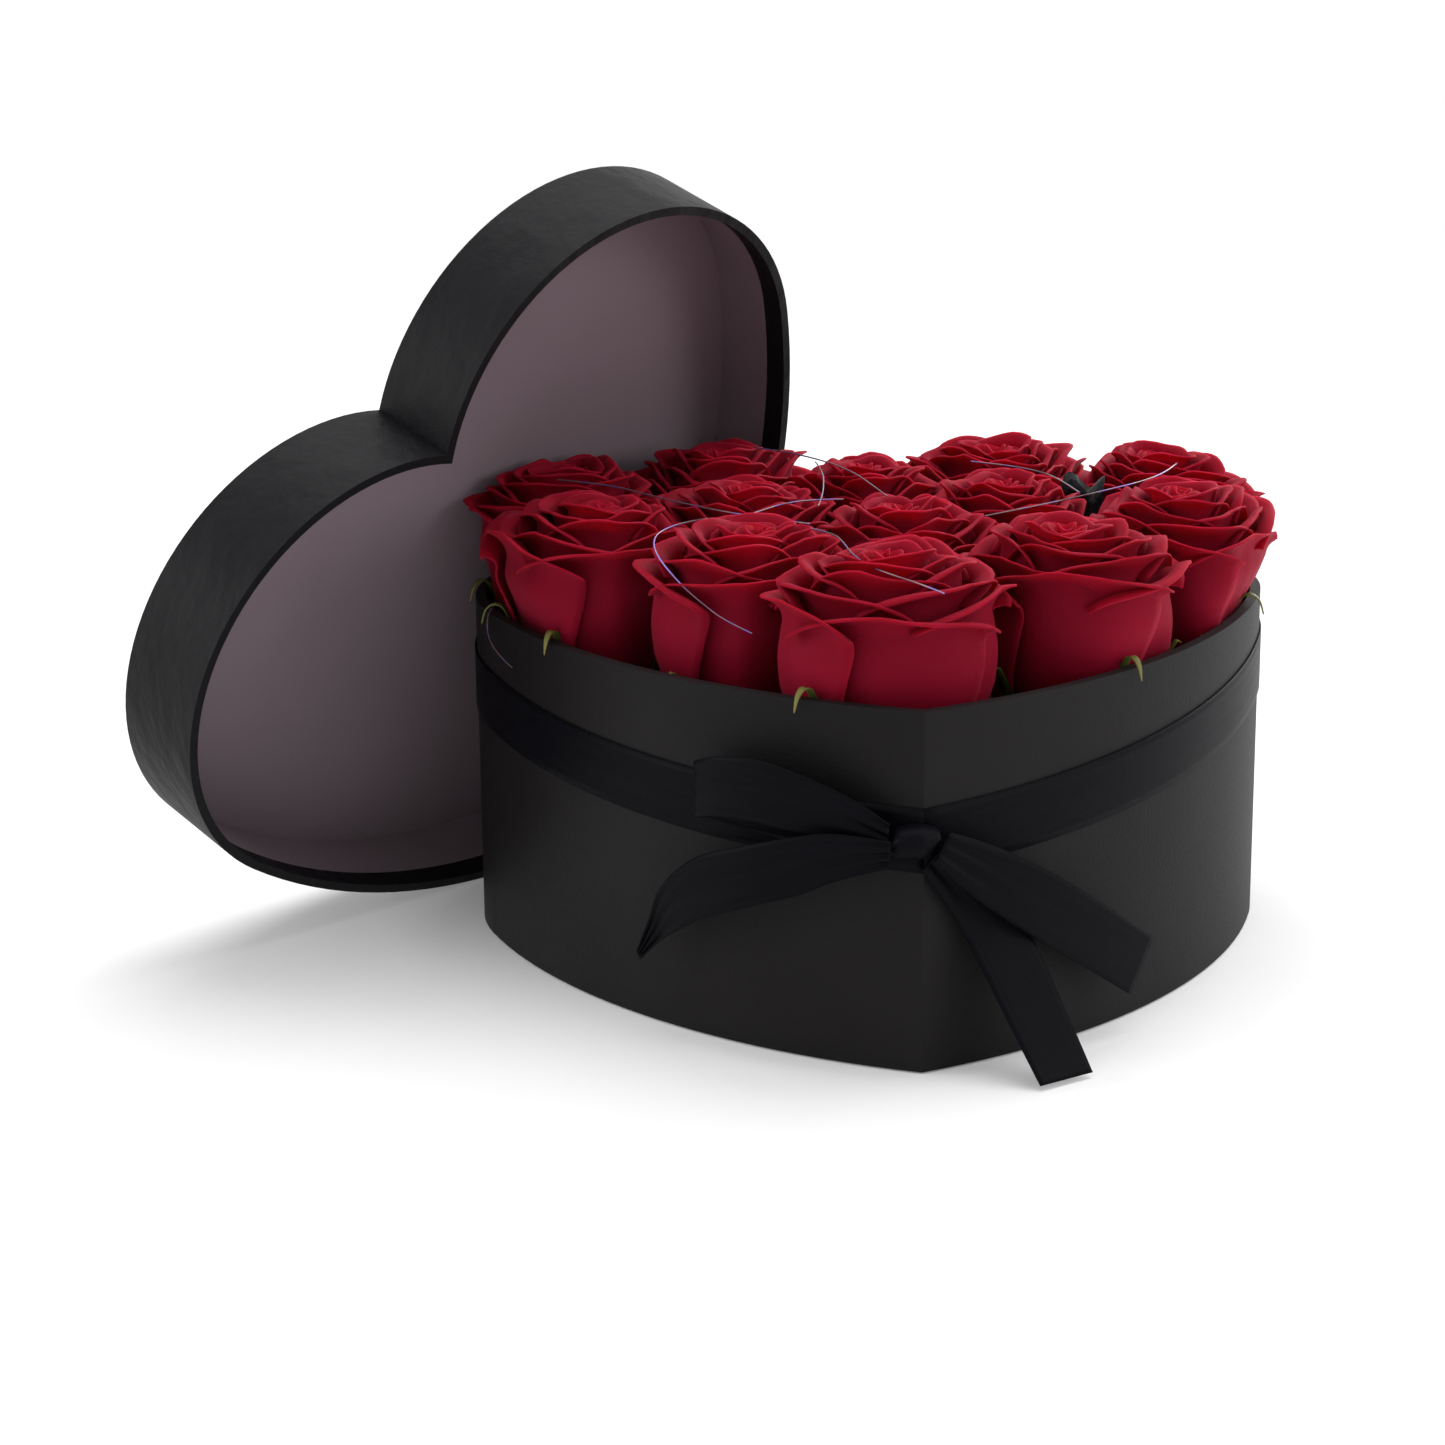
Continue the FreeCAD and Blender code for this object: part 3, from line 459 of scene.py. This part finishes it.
# whorls from outside in: petals, lip radius, neck height, foot height, lap, how far the lip rolls out
WHORLS = (
    (5, 27.0, 38.8, 5.0, 0.13, 1.0),
    (5, 22.8, 42.8, 6.4, 0.13, 0.85),
    (5, 18.6, 45.8, 6.9, 0.14, 0.7),
    (4, 14.4, 48.0, 7.8, 0.16, 0.58),
    (3, 10.4, 49.5, 8.4, 0.2, 0.45),
)
PETAL_ROWS = 20
PETAL_COLUMNS = 21
PETAL_THICK = 0.55
NECK = 0.68
ROLL_LENGTH = 8.6
ROLL_TURN = 1.1
CORNER_TURN = 0.9
CORNER_FALL = 0.19
BUD_TURNS = 2.4
BUD_COLUMNS = 46
BUD_ROWS = 6


class Sheets:
    """Points, faces and values of several sheets that make one piece."""

    def __init__(self):
        self.points = []
        self.faces = []
        self.lips = []
        self.veins = []

    def add(self, rows):
        """Add one sheet of (point, lip, vein) rows."""
        self.faces += grid_faces(len(rows), len(rows[0]), len(self.points))
        for row in rows:
            for point, lip, vein in row:
                self.points.append(point)
                self.lips.append(lip)
                self.veins.append(vein)


def side_at(along):
    """A petal's side at a place from foot to lip."""
    place = along * (len(PETAL_SIDE) - 1)
    number = min(int(place), len(PETAL_SIDE) - 2)
    picks = [PETAL_SIDE[min(max(number + offset, 0), len(PETAL_SIDE) - 1)] for offset in (-1, 0, 1, 2)]
    weights = curve_weights(place - number)
    return [sum(w * row[item] for w, row in zip(weights, picks)) for item in range(3)]


def petal_rows(facing, whorl, room, dice):
    """One petal: a cupped sheet that widens to a pointed lip, which rolls outwards."""
    count, lip_radius, neck_height, foot, lap, roll = whorl
    widen = 5 / count
    lift = dice.uniform(-0.07, 0.05) * lip_radius
    lean = dice.uniform(-0.02, 0.015)
    ripple = dice.uniform(0, 2 * math.pi)
    roll_turn = ROLL_TURN * dice.uniform(0.7, 1.35)
    tip_at = dice.uniform(-0.3, 0.3)
    rows = []
    for row in range(PETAL_ROWS):
        step = row / (PETAL_ROWS - 1)
        curl = max(0.0, (step - NECK) / (1 - NECK))
        line = []
        for column in range(PETAL_COLUMNS):
            across = 2 * column / (PETAL_COLUMNS - 1) - 1
            corner = min(1.0, 1.2 * abs(across - tip_at))
            along = min(step / NECK, 1.0) * (1 - CORNER_FALL * abs(across) ** 3)
            share, rise, half = side_at(along)
            turn = curl * (roll_turn + CORNER_TURN * corner) + 0.001
            length = roll * ROLL_LENGTH * curl * (1 - 0.2 * abs(across) ** 4)
            reach = share * (1 - lap * (1 - across) / 2) + lean * along
            reach += length * (1 - math.cos(turn)) / turn / lip_radius
            height = foot + (neck_height + lift - foot) * rise + length * math.sin(turn) / turn
            height += 0.5 * curl * math.sin(5 * across + ripple)
            angle = math.radians(facing + half * widen * across)
            radius = min(reach, 1.0) * lip_radius * room.share(angle, height)
            point = (radius * math.cos(angle), radius * math.sin(angle), FOAM_TOP + height)
            line.append((point, 0.1 + 0.5 * along + 0.4 * curl, across))
        rows.append(line)
    return rows


def bud_rows(turn, room):
    """The rolled middle of a rose."""
    rows = []
    for row in range(BUD_ROWS):
        rise = row / (BUD_ROWS - 1)
        line = []
        for column in range(BUD_COLUMNS):
            part = column / (BUD_COLUMNS - 1)
            angle = math.radians(turn) + part * BUD_TURNS * 2 * math.pi
            radius = 0.9 + 5.6 * part + 0.7 * rise ** 3
            height = 34 + rise * (17.4 + 0.7 * math.sin(2.2 * angle) - 0.8 * part)
            radius *= room.share(angle, height)
            point = (radius * math.cos(angle), radius * math.sin(angle), FOAM_TOP + height)
            line.append((point, 0.2 + 0.7 * rise, part * 4))
        rows.append(line)
    return rows


def rose_turn(number):
    """The angle of a rose's first outer petal, in degrees."""
    return TURN_PER_ROSE * number + TURN_FURTHER.get(number, 0)


def rose_body(number):
    """The body that a rose moves with."""
    return "box" if number in HELD_ROSES else f"bloom_{number:02d}"


def at_spot(points, spot):
    """Points moved to a rose's place."""
    return [(x + spot[0], y + spot[1], z) for x, y, z in points]


def make_rose(number, room, material):
    """One rose head of overlapping petals round a rolled bud."""
    dice = random.Random(number)
    turn = rose_turn(number)
    sheets = Sheets()
    for level, whorl in enumerate(WHORLS):
        for place in range(whorl[0]):
            facing = turn + level * 36 + place * 360 / whorl[0] + dice.uniform(-5, 5)
            sheets.add(petal_rows(facing, whorl, room, dice))
    sheets.add(bud_rows(turn, room))
    piece = new_piece(
        f"soap_rose_{number:02d}", at_spot(sheets.points, room.spot), sheets.faces, material,
        rose_body(number), {"lip": sheets.lips, "vein": sheets.veins},
    )
    thicken(piece, PETAL_THICK)
    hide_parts(f"rose_{number:02d}")
    return piece


# Calyces

CALYX_PROFILE = ((0.05, 0.0), (8.6, 0.0), (9.6, 1.2), (9.7, 3.4), (9.1, 4.3), (0.05, 4.3))
PEG_PROFILE = ((0.05, 0.0), (2.95, 0.0), (2.95, -10.0), (1.2, -12.0), (0.05, -12.0))
SEPAL_FREE = ((9.2, 3.4), (17.8, 9.5), (22.4, 16.0), (24.0, 18.6), (25.2, 20.2))
SEPAL_WIDTHS = (3.0, 3.6, 2.7, 2.1, 1.9, 1.6, 1.1, 0.12)
NEAR_WALL = 31.0
SEPAL_THICK = 0.4


def sepal_path(wall, share):
    """A sepal's line outwards: up the rose's side and, near the wall, over the rim."""
    if wall > NEAR_WALL:
        path = [(radius * share, height) for radius, height in SEPAL_FREE]
        out, up = path[-1]
        return path + [(out + 0.6, up + 0.9), (out + 1.2, up + 1.0), (out + 1.9, up + 0.6)]
    rim = BOX_TOP - FOAM_TOP
    path = [(8.0, 3.0), (min(18.2 * share, wall - 5), 10.5), (min(23.0 * share, wall - 1.4), rim - 3.2)]
    return path + [
        (wall - 0.9, rim + 0.6), (wall + 0.6, rim + 2.1), (wall + 2.6, rim + 2.2),
        (wall + 4.3, rim + 0.6), (wall + 5.2, rim - 2.6),
    ]


def sepal_rows(angle, path):
    """One leaf along its line, folded a little along the middle."""
    rows = []
    stations = eased([(*spot, width) for spot, width in zip(path, SEPAL_WIDTHS)], 4)
    for number, (radius, height, width) in enumerate(stations):
        line = []
        for across in (-1, -0.5, 0, 0.5, 1):
            side = across * width / 2
            fold = 0.25 * abs(across) * min(width, 1.6)
            reach = radius - fold * 0.5
            point = (
                reach * math.cos(angle) - side * math.sin(angle),
                reach * math.sin(angle) + side * math.cos(angle),
                FOAM_TOP + height + fold * 0.4,
            )
            line.append((point, number / (len(stations) - 1), across))
        rows.append(line)
    return rows


def lathe_rows(profile, columns=24):
    """A turned surface as sheet rows."""
    rows = []
    for radius, height in profile:
        angles = [2 * math.pi * column / columns for column in range(columns + 1)]
        level = FOAM_TOP + height
        rows.append([((radius * math.cos(a), radius * math.sin(a), level), 0.1, 0.0) for a in angles])
    return rows


def make_calyx(number, room, material):
    """The cup, its peg and five curling sepals."""
    sheets = Sheets()
    sheets.add(lathe_rows(CALYX_PROFILE))
    sheets.add(lathe_rows(PEG_PROFILE))
    for side in range(5):
        angle = math.radians(rose_turn(number) + 36 + side * 72)
        path = sepal_path(wall_distance(room.spot, angle), room.share(angle, 22))
        sheets.add(sepal_rows(angle, path))
    piece = new_piece(
        f"curled_calyx_{number:02d}", at_spot(sheets.points, room.spot), sheets.faces, material,
        rose_body(number), {"lip": sheets.lips},
    )
    thicken(piece, SEPAL_THICK)
    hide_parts(f"calyx_{number:02d}")
    return piece


# Ribbon

# stations of the bow's strips: along the wall from the tip, height, standoff, share of the ribbon's
# width, and the width's angle up from the wall's run
BOW = {
    "ribbon_loop": (-1, (
        (6.3, 57.2, 6.0, 0.45, 95), (14.4, 60.7, 8.0, 0.7, 104), (25.4, 63.4, 9.5, 0.95, 102),
        (36, 65.3, 10.0, 1.0, 98), (46, 64.8, 9.4, 0.97, 94), (52.4, 62.8, 7.8, 0.9, 90),
        (53.6, 61.8, 5.8, 0.88, 90), (51, 62.0, 4.2, 0.92, 93), (43, 61.0, 3.2, 0.95, 98),
        (28.5, 58.3, 2.6, 0.8, 98), (8.2, 55.5, 2.6, 0.45, 92),
    )),
    "ribbon_tail_left": (-1, (
        (5.2, 54.2, 8.2, 0.4, 92), (16.6, 52.6, 10.2, 0.75, 94), (24.7, 50, 11.5, 0.95, 94),
        (38.7, 45, 12.0, 1.0, 92), (50.4, 39.9, 11.0, 1.0, 86), (59.9, 32.4, 9.5, 0.75, 74),
        (64.3, 26.3, 8.5, 0.4, 64), (69.4, 18.7, 8.0, 0.12, 55),
    )),
    "ribbon_tail_short": (1, (
        (1.5, 55.4, 6.2, 0.5, 60), (12, 48, 8.0, 0.85, 56), (26, 38.2, 8.8, 1.0, 55),
        (41.8, 27, 8.8, 1.0, 55), (57.8, 15.7, 8.8, 1.0, 55),
    )),
    "ribbon_tail_long": (1, (
        (1.0, 52, 2.6, 0.5, 42), (12.6, 39.3, 3.4, 0.9, 36), (17.6, 28, 7.2, 1.0, 20),
        (20.7, 13.8, 15.0, 1.0, 10), (23, 0.9, 22.5, 1.0, 0),
    )),
}
STRIP_STEPS = 8
STRIP_COLUMNS = 13
GATHER_DEPTH = 0.9
GATHER_FOLDS = 3


def strip_rows(side, stations):
    """A ribbon's surface, gathered into folds where it is narrow."""
    stations = eased(stations, STRIP_STEPS)
    spots = [wall_point(side, *station[:3]) for station in stations]
    rows = []
    for number, (along, height, standoff, share, angle) in enumerate(stations):
        spot = spots[number]
        run = spots[min(number + 1, len(spots) - 1)] - spots[max(number - 1, 0)]
        level = (wall_point(side, along + 1, height, standoff) - spot).normalized()
        width = level * math.cos(math.radians(angle)) + Vector((0, 0, math.sin(math.radians(angle))))
        through = run.cross(width).normalized()
        depth = GATHER_DEPTH * (1 - min(share, 1.0))
        row = []
        for column in range(STRIP_COLUMNS):
            across = 2 * column / (STRIP_COLUMNS - 1) - 1
            fold = depth * math.cos(GATHER_FOLDS * math.pi * across)
            row.append(spot + width * (across * share * RIBBON_WIDTH / 2) + through * fold)
        rows.append(row)
    return rows


def strip_uvs(rows):
    """Coordinates in metres along and across a ribbon."""
    uvs = []
    along = 0.0
    middle = len(rows[0]) // 2
    for number, row in enumerate(rows):
        if number:
            along += (row[middle] - rows[number - 1][middle]).length * MM
        width = RIBBON_WIDTH * MM
        uvs += [(along, column / (len(row) - 1) * width) for column in range(len(row))]
    return uvs


def make_strip(node, rows, material):
    """A length of ribbon that stands for its solid."""
    points = [point for row in rows for point in row]
    faces = grid_faces(len(rows), len(rows[0]))
    piece = new_piece(f"satin_{node}", points, faces, material, "box", uvs=strip_uvs(rows))
    thicken(piece, RIBBON_THICK)
    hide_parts(node)
    return piece


SIDE_STEPS = 40
LOBE_STEPS = 32
BRIDGE_STEPS = 16
BAND_COLUMNS = 9


def band_path(growth):
    """The plan line of a band that bridges the cleft, from the tip and back to it."""
    lobe = LOBE_RADIUS + growth
    side = SIDE_RADIUS + growth
    tip = -math.acos(-SIDE_X / side)
    right = []
    for step in range(SIDE_STEPS + 1):
        angle = tip + (-SIDE_START - tip) * step / SIDE_STEPS
        right.append((SIDE_X + side * math.cos(angle), SIDE_Y + side * math.sin(angle)))
    for step in range(1, LOBE_STEPS + 1):
        angle = -SIDE_START + (math.pi / 2 + SIDE_START) * step / LOBE_STEPS
        right.append((LOBE + lobe * math.cos(angle), lobe * math.sin(angle)))
    bridge = [(LOBE - 2 * LOBE * step / BRIDGE_STEPS, lobe) for step in range(1, BRIDGE_STEPS)]
    left = [(-x, y) for x, y in reversed(right)]
    return right + bridge + left


def band_rows():
    """The band's surface, on its slanting plane."""
    normal = Matrix.Rotation(BAND_ROLL, 3, "Y") @ Matrix.Rotation(BAND_PITCH, 3, "X") @ Vector((0, 0, 1))
    rows = []
    for x, y in band_path(BAND_OUT):
        middle = BAND_LEVEL - (normal.x * x + normal.y * y) / normal.z
        half = RIBBON_WIDTH / 2 / normal.z
        shares = [2 * column / (BAND_COLUMNS - 1) - 1 for column in range(BAND_COLUMNS)]
        rows.append([Vector((x, y, middle + half * share)) for share in shares])
    return rows


KNOT_MIDDLE = (-2.6, -124.4, 55.8)
KNOT_HALF = (5.6, 4.6, 4.1)
KNOT_ROWS = 24
KNOT_COLUMNS = 36


def front_of_tip(x):
    """The front of the band at the heart's tip."""
    reach = SIDE_RADIUS + KNOT_BEARING
    return SIDE_Y - math.sqrt(reach ** 2 - (abs(x) - SIDE_X) ** 2)


def make_knot(material):
    """The knot: a short wrap of ribbon that bulges between the loop and the tails."""
    rows = []
    for row in range(KNOT_ROWS):
        across = 2 * row / (KNOT_ROWS - 1) - 1
        bulge = max(1 - abs(across) ** 2.6, 0.001) ** 0.4
        line = []
        for column in range(KNOT_COLUMNS):
            angle = 2 * math.pi * column / KNOT_COLUMNS
            crease = 1 + 0.02 * math.sin(6 * across + 1.6 * math.sin(angle))
            x = KNOT_MIDDLE[0] + KNOT_HALF[0] * across + 0.9 * math.sin(angle)
            y = KNOT_MIDDLE[1] + KNOT_HALF[1] * bulge * crease * math.cos(angle)
            z = KNOT_MIDDLE[2] + KNOT_HALF[2] * bulge * crease * math.sin(angle)
            line.append(Vector((x, min(y, front_of_tip(x)), z)))
        rows.append(line)
    points = [point for line in rows for point in line]
    faces = grid_faces(KNOT_ROWS, KNOT_COLUMNS, wrap=True)
    ends = [tuple(range(KNOT_COLUMNS)), tuple(range(len(points) - 1, len(points) - KNOT_COLUMNS - 1, -1))]
    uvs = [(column * 0.0008, row * 0.0007) for row in range(KNOT_ROWS) for column in range(KNOT_COLUMNS)]
    piece = new_piece("satin_knot", points, faces + ends, material, "box", uvs=uvs)
    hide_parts("ribbon_knot")
    return piece


# Tissue and threads

TISSUE_COLUMNS = 22
TISSUE_LEVELS = 14
TISSUE_DIP = 6.0


def make_tissue(material):
    """A crumpled twist of tissue that opens at its top."""
    dice = random.Random(5)
    columns, levels = TISSUE_COLUMNS, TISSUE_LEVELS
    bends = [dice.uniform(0, 2 * math.pi) for number in range(4)]
    points = []
    for row in range(levels):
        rise = row / (levels - 1)
        for column in range(columns):
            angle = 2 * math.pi * column / columns
            pleat = 0.93 - 0.07 * math.sin(5 * angle + bends[0] + 2 * rise)
            pleat -= 0.04 * math.sin(9 * angle + bends[1])
            radius = (TISSUE_FOOT + (TISSUE_RADIUS - TISSUE_FOOT) * rise) * pleat
            height = TISSUE_HEIGHT * rise - 2.2 * rise ** 4 * (1 + math.sin(3 * angle + bends[2]))
            x = TISSUE_SPOT[0] + radius * math.cos(angle)
            points.append((x, TISSUE_SPOT[1] + radius * math.sin(angle), FOAM_TOP + height))
    faces = grid_faces(levels, columns, wrap=True)
    crown = len(points)
    points.append((*TISSUE_SPOT, FOAM_TOP + TISSUE_HEIGHT - TISSUE_DIP))
    rim = crown - columns
    faces += [(rim + column, rim + (column + 1) % columns, crown) for column in range(columns)]
    piece = new_piece("crumpled_tissue", points, faces, material, "box")
    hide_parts("tissue_tuft")


THREADS = (
    (FOAM_TOP, ((-78.9, 5.1, 51.2), (-65.7, -2.6, 51.2), (-56.7, -16.1, 51.2), (-47.8, -27.9, 51.2),
                (-38.7, -38.4, 51.2), (-29, -46.4, 51.2), (-19.5, -54, 51.2))),
    (FOAM_TOP, ((-12, 17, 52.1), (-11.3, 3.3, 52.1), (-12.4, -11, 52.1), (-14, -25.5, 52.1),
                (-16.2, -38, 52.1))),
    (FOAM_TOP, ((-33.2, -38.8, 50.5), (-29.9, -34.5, 50.5), (-23.9, -26.5, 50.5),
                (-16.5, -22.6, 50.5), (-8.5, -22.9, 50.5))),
    (FOAM_TOP, ((-43.7, -49.5, 52.1), (-47.4, -52.5, 52.3), (-53, -58.5, 52.4), (-57.6, -67, 52),
                (-57.5, -72.2, 49), (-53, -78.6, 44.1), (-47.2, -82, 39.1), (-41.5, -84.3, 35.1),
                (-35.8, -85.8, 32.6))),
    (FOAM_TOP, ((-20, -64, 52.3), (-15.4, -70, 52.3), (-14, -79, 52.2), (-13.3, -88.5, 51.9),
                (-10.8, -97.5, 51.1), (-5.8, -105, 50.3), (0.5, -110.8, 49.3), (5, -116, 48.3))),
    (FOAM_TOP, ((-26.8, 32.5, 53.2), (-17.4, 24, 53.2), (-9, 11, 53.1), (-4, -3, 53.1),
                (-1, -17.5, 52.9), (1.5, -31, 52.6))),
    (FOAM_TOP, ((28.9, 20.3, 50.7), (38.4, 13.9, 50.7), (46.1, 3.2, 50.7), (49, -10, 50.7),
                (50.5, -22, 50.7))),
    (FOAM_TOP, ((23.1, -49.3, 51.2), (33.4, -41.5, 51.2), (45.1, -34, 51.6), (57, -24.5, 51.8),
                (67.5, -13.5, 51.4), (76, -1.5, 51.2), (81, 10, 51.2))),
    (BOX_TOP, ((-90.2, -11.8, 3), (-93.5, -16, 1.8), (-97, -21, 1.1), (-97.6, -25.5, -4.2),
               (-94.8, -32, -8), (-91.5, -38.8, -9.4))),
)
THREAD_BODIES = (
    "box", "bloom_02", "bloom_02", "bloom_07", "bloom_01", "bloom_03", "bloom_05", "bloom_04", "box",
)
THREAD_THICK = 0.4


def make_thread(number, level, places, material):
    """One loose thread on a smooth line through its route."""
    curve = bpy.data.curves.new(f"film_thread_{number}", "CURVE")
    curve.dimensions = "3D"
    curve.bevel_depth = THREAD_THICK / 2 * MM
    curve.bevel_resolution = 2
    curve.use_fill_caps = True
    spline = curve.splines.new("NURBS")
    spline.points.add(len(places) - 1)
    for point, (x, y, above) in zip(spline.points, places):
        point.co = (x * MM, y * MM, (level + above) * MM, 1)
    spline.order_u = 3
    spline.use_endpoint_u = True
    spline.resolution_u = 10
    curve.materials.append(material)
    piece = bpy.data.objects.new(f"film_thread_{number}", curve)
    bpy.context.scene.collection.objects.link(piece)
    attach(piece, THREAD_BODIES[number - 1])
    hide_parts(f"thread_{number}")
    x, y, above = places[0]


# Stage, light and camera

def dress_nodes():
    """Give the solids that show their own materials."""
    paper = black_paper("box_paper", ((0.0085, 0.0073, 0.0079), (0.0125, 0.0112, 0.0119)))
    lid_tone = ((0.006, 0.0057, 0.007), (0.0085, 0.008, 0.0095))
    lid_paper = black_paper("lid_paper", lid_tone, 0.5)
    top_paper = black_paper("lid_top_paper", lid_tone, 0.12)
    grey = board()
    looks = {
        "box_wrap": paper, "box_wall": paper, "box_floor": grey, "foam_insert": foam(),
        "lid_wrap": lid_paper, "lid_top_paper": top_paper, "lid_lining": lining_paper(),
        "lid_panel": grey, "lid_wall": grey,
    }
    for node, material in looks.items():
        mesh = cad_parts[node].data
        mesh.materials.clear()
        mesh.materials.append(material)


FLOOR_RADIUS = 1.5
FLOOR_LEVEL = -0.0004
FLOOR_SIDES = 96


def make_stage():
    """A plain pale floor that fades into the surround."""
    shade = Shade("pale_floor")
    speckle = shade.noise(shade.place(), 40, 2)
    shade.set(Base_Color=shade.ramp(speckle, (0.3, (0.84, 0.84, 0.84)), (0.8, (0.86, 0.86, 0.86))))
    shade.set(Roughness=0.9, Specular_IOR_Level=0.1, Emission_Color=(1, 1, 1, 1), Emission_Strength=0.12)
    place = shade.place((1 / FLOOR_RADIUS,) * 3)
    reach = shade.node("ShaderNodeVectorMath", {0: place}, operation="LENGTH").outputs["Value"]
    values = {"Value": reach, "From Min": 0.3, "From Max": 0.95, "To Min": 1.0, "To Max": 0.0}
    fade = shade.node("ShaderNodeMapRange", values, interpolation_type="SMOOTHSTEP").outputs["Result"]
    shade.set(Alpha=fade)
    mesh = bpy.data.meshes.new("floor")
    turns = [2 * math.pi * number / FLOOR_SIDES for number in range(FLOOR_SIDES)]
    rim = [(FLOOR_RADIUS * math.cos(turn), FLOOR_RADIUS * math.sin(turn), FLOOR_LEVEL) for turn in turns]
    mesh.from_pydata(rim, [], [range(FLOOR_SIDES)])
    mesh.materials.append(shade.material)
    floor = bpy.data.objects.new("floor", mesh)
    bpy.context.scene.collection.objects.link(floor)


def add_light(name, spot, target, size, power):
    """A soft rectangular light that faces a target."""
    light = bpy.data.lights.new(name, "AREA")
    light.shape = "RECTANGLE"
    light.size, light.size_y = size
    light.energy = power
    lamp = bpy.data.objects.new(name, light)
    lamp.location = spot
    lamp.rotation_euler = (Vector(target) - Vector(spot)).to_track_quat("-Z", "Y").to_euler()
    bpy.context.scene.collection.objects.link(lamp)


SURROUND = 0.57


def light_scene():
    """Soft lights overhead and on three sides, and a white surround that lights only a little."""
    world = bpy.data.worlds.new("surround")
    bpy.context.scene.world = world
    world.use_nodes = True
    tree = world.node_tree
    background = tree.nodes["Background"]
    background.inputs["Color"].default_value = (1, 1, 1, 1)
    rays = tree.nodes.new("ShaderNodeLightPath")
    seen = rays.outputs["Is Camera Ray"]
    for name in ("Is Glossy Ray", "Is Transmission Ray"):
        either = tree.nodes.new("ShaderNodeMath")
        either.operation = "MAXIMUM"
        tree.links.new(seen, either.inputs[0])
        tree.links.new(rays.outputs[name], either.inputs[1])
        seen = either.outputs["Value"]
    strength = tree.nodes.new("ShaderNodeMapRange")
    strength.inputs["To Min"].default_value = SURROUND
    strength.inputs["To Max"].default_value = 1.0
    tree.links.new(seen, strength.inputs["Value"])
    tree.links.new(strength.outputs["Result"], background.inputs["Strength"])
    add_light("overhead", (0.1, 0.15, 1.4), (0, 0, 0.1), (1.6, 1.2), 14)
    add_light("behind_right", (0.9, 1.0, 0.6), (0, 0, 0.1), (0.9, 0.9), 10)
    add_light("left", (-1.1, -0.1, 0.4), (-0.1, 0, 0.1), (0.5, 0.5), 3)
    add_light("right", (1.2, -0.6, 0.5), (-0.1, 0, 0.1), (0.6, 0.6), 4)


CAMERA_SPOT = (-0.089055, -0.862842, 0.290076)
CAMERA_ANGLES = (-3.407, 15.527, -0.495)
CAMERA_LENS = 86.517
CAMERA_SENSOR = 36


def make_camera():
    """The photograph's viewpoint: its turn round the object, its rise and its tilt."""
    turn, rise, tilt = (math.radians(angle) for angle in CAMERA_ANGLES)
    back = Vector((math.sin(turn) * math.cos(rise), -math.cos(turn) * math.cos(rise), math.sin(rise)))
    right = Vector((math.cos(turn), math.sin(turn), 0))
    up = back.cross(right)
    level = right * math.cos(tilt) + up * math.sin(tilt)
    upright = up * math.cos(tilt) - right * math.sin(tilt)
    camera = bpy.data.objects.new("camera", bpy.data.cameras.new("camera"))
    camera.matrix_world = Matrix((
        (level.x, upright.x, back.x, CAMERA_SPOT[0]),
        (level.y, upright.y, back.y, CAMERA_SPOT[1]),
        (level.z, upright.z, back.z, CAMERA_SPOT[2]),
        (0, 0, 0, 1),
    ))
    camera.data.sensor_width = CAMERA_SENSOR
    camera.data.lens = CAMERA_LENS
    camera.data.clip_start = 0.01
    bpy.context.scene.collection.objects.link(camera)
    bpy.context.scene.camera = camera


make_camera()
light_scene()
make_stage()
dress_nodes()

threads_look = film_thread()
for number, (level, places) in enumerate(THREADS, start=1):
    make_thread(number, level, places, threads_look)

petals_look = petal_soap()
sepals_look = sepal_leaf()
for number, spot in ROSE_SPOTS.items():
    room = Room(spot)
    make_rose(number, room, petals_look)
    make_calyx(number, room, sepals_look)

ribbon_look = satin()
make_strip("ribbon_band", band_rows(), ribbon_look)
for node, (side, stations) in BOW.items():
    make_strip(node, strip_rows(side, stations), ribbon_look)
make_knot(ribbon_look)
make_tissue(tissue_paper())

bpy.context.scene.view_settings.view_transform = "Standard"
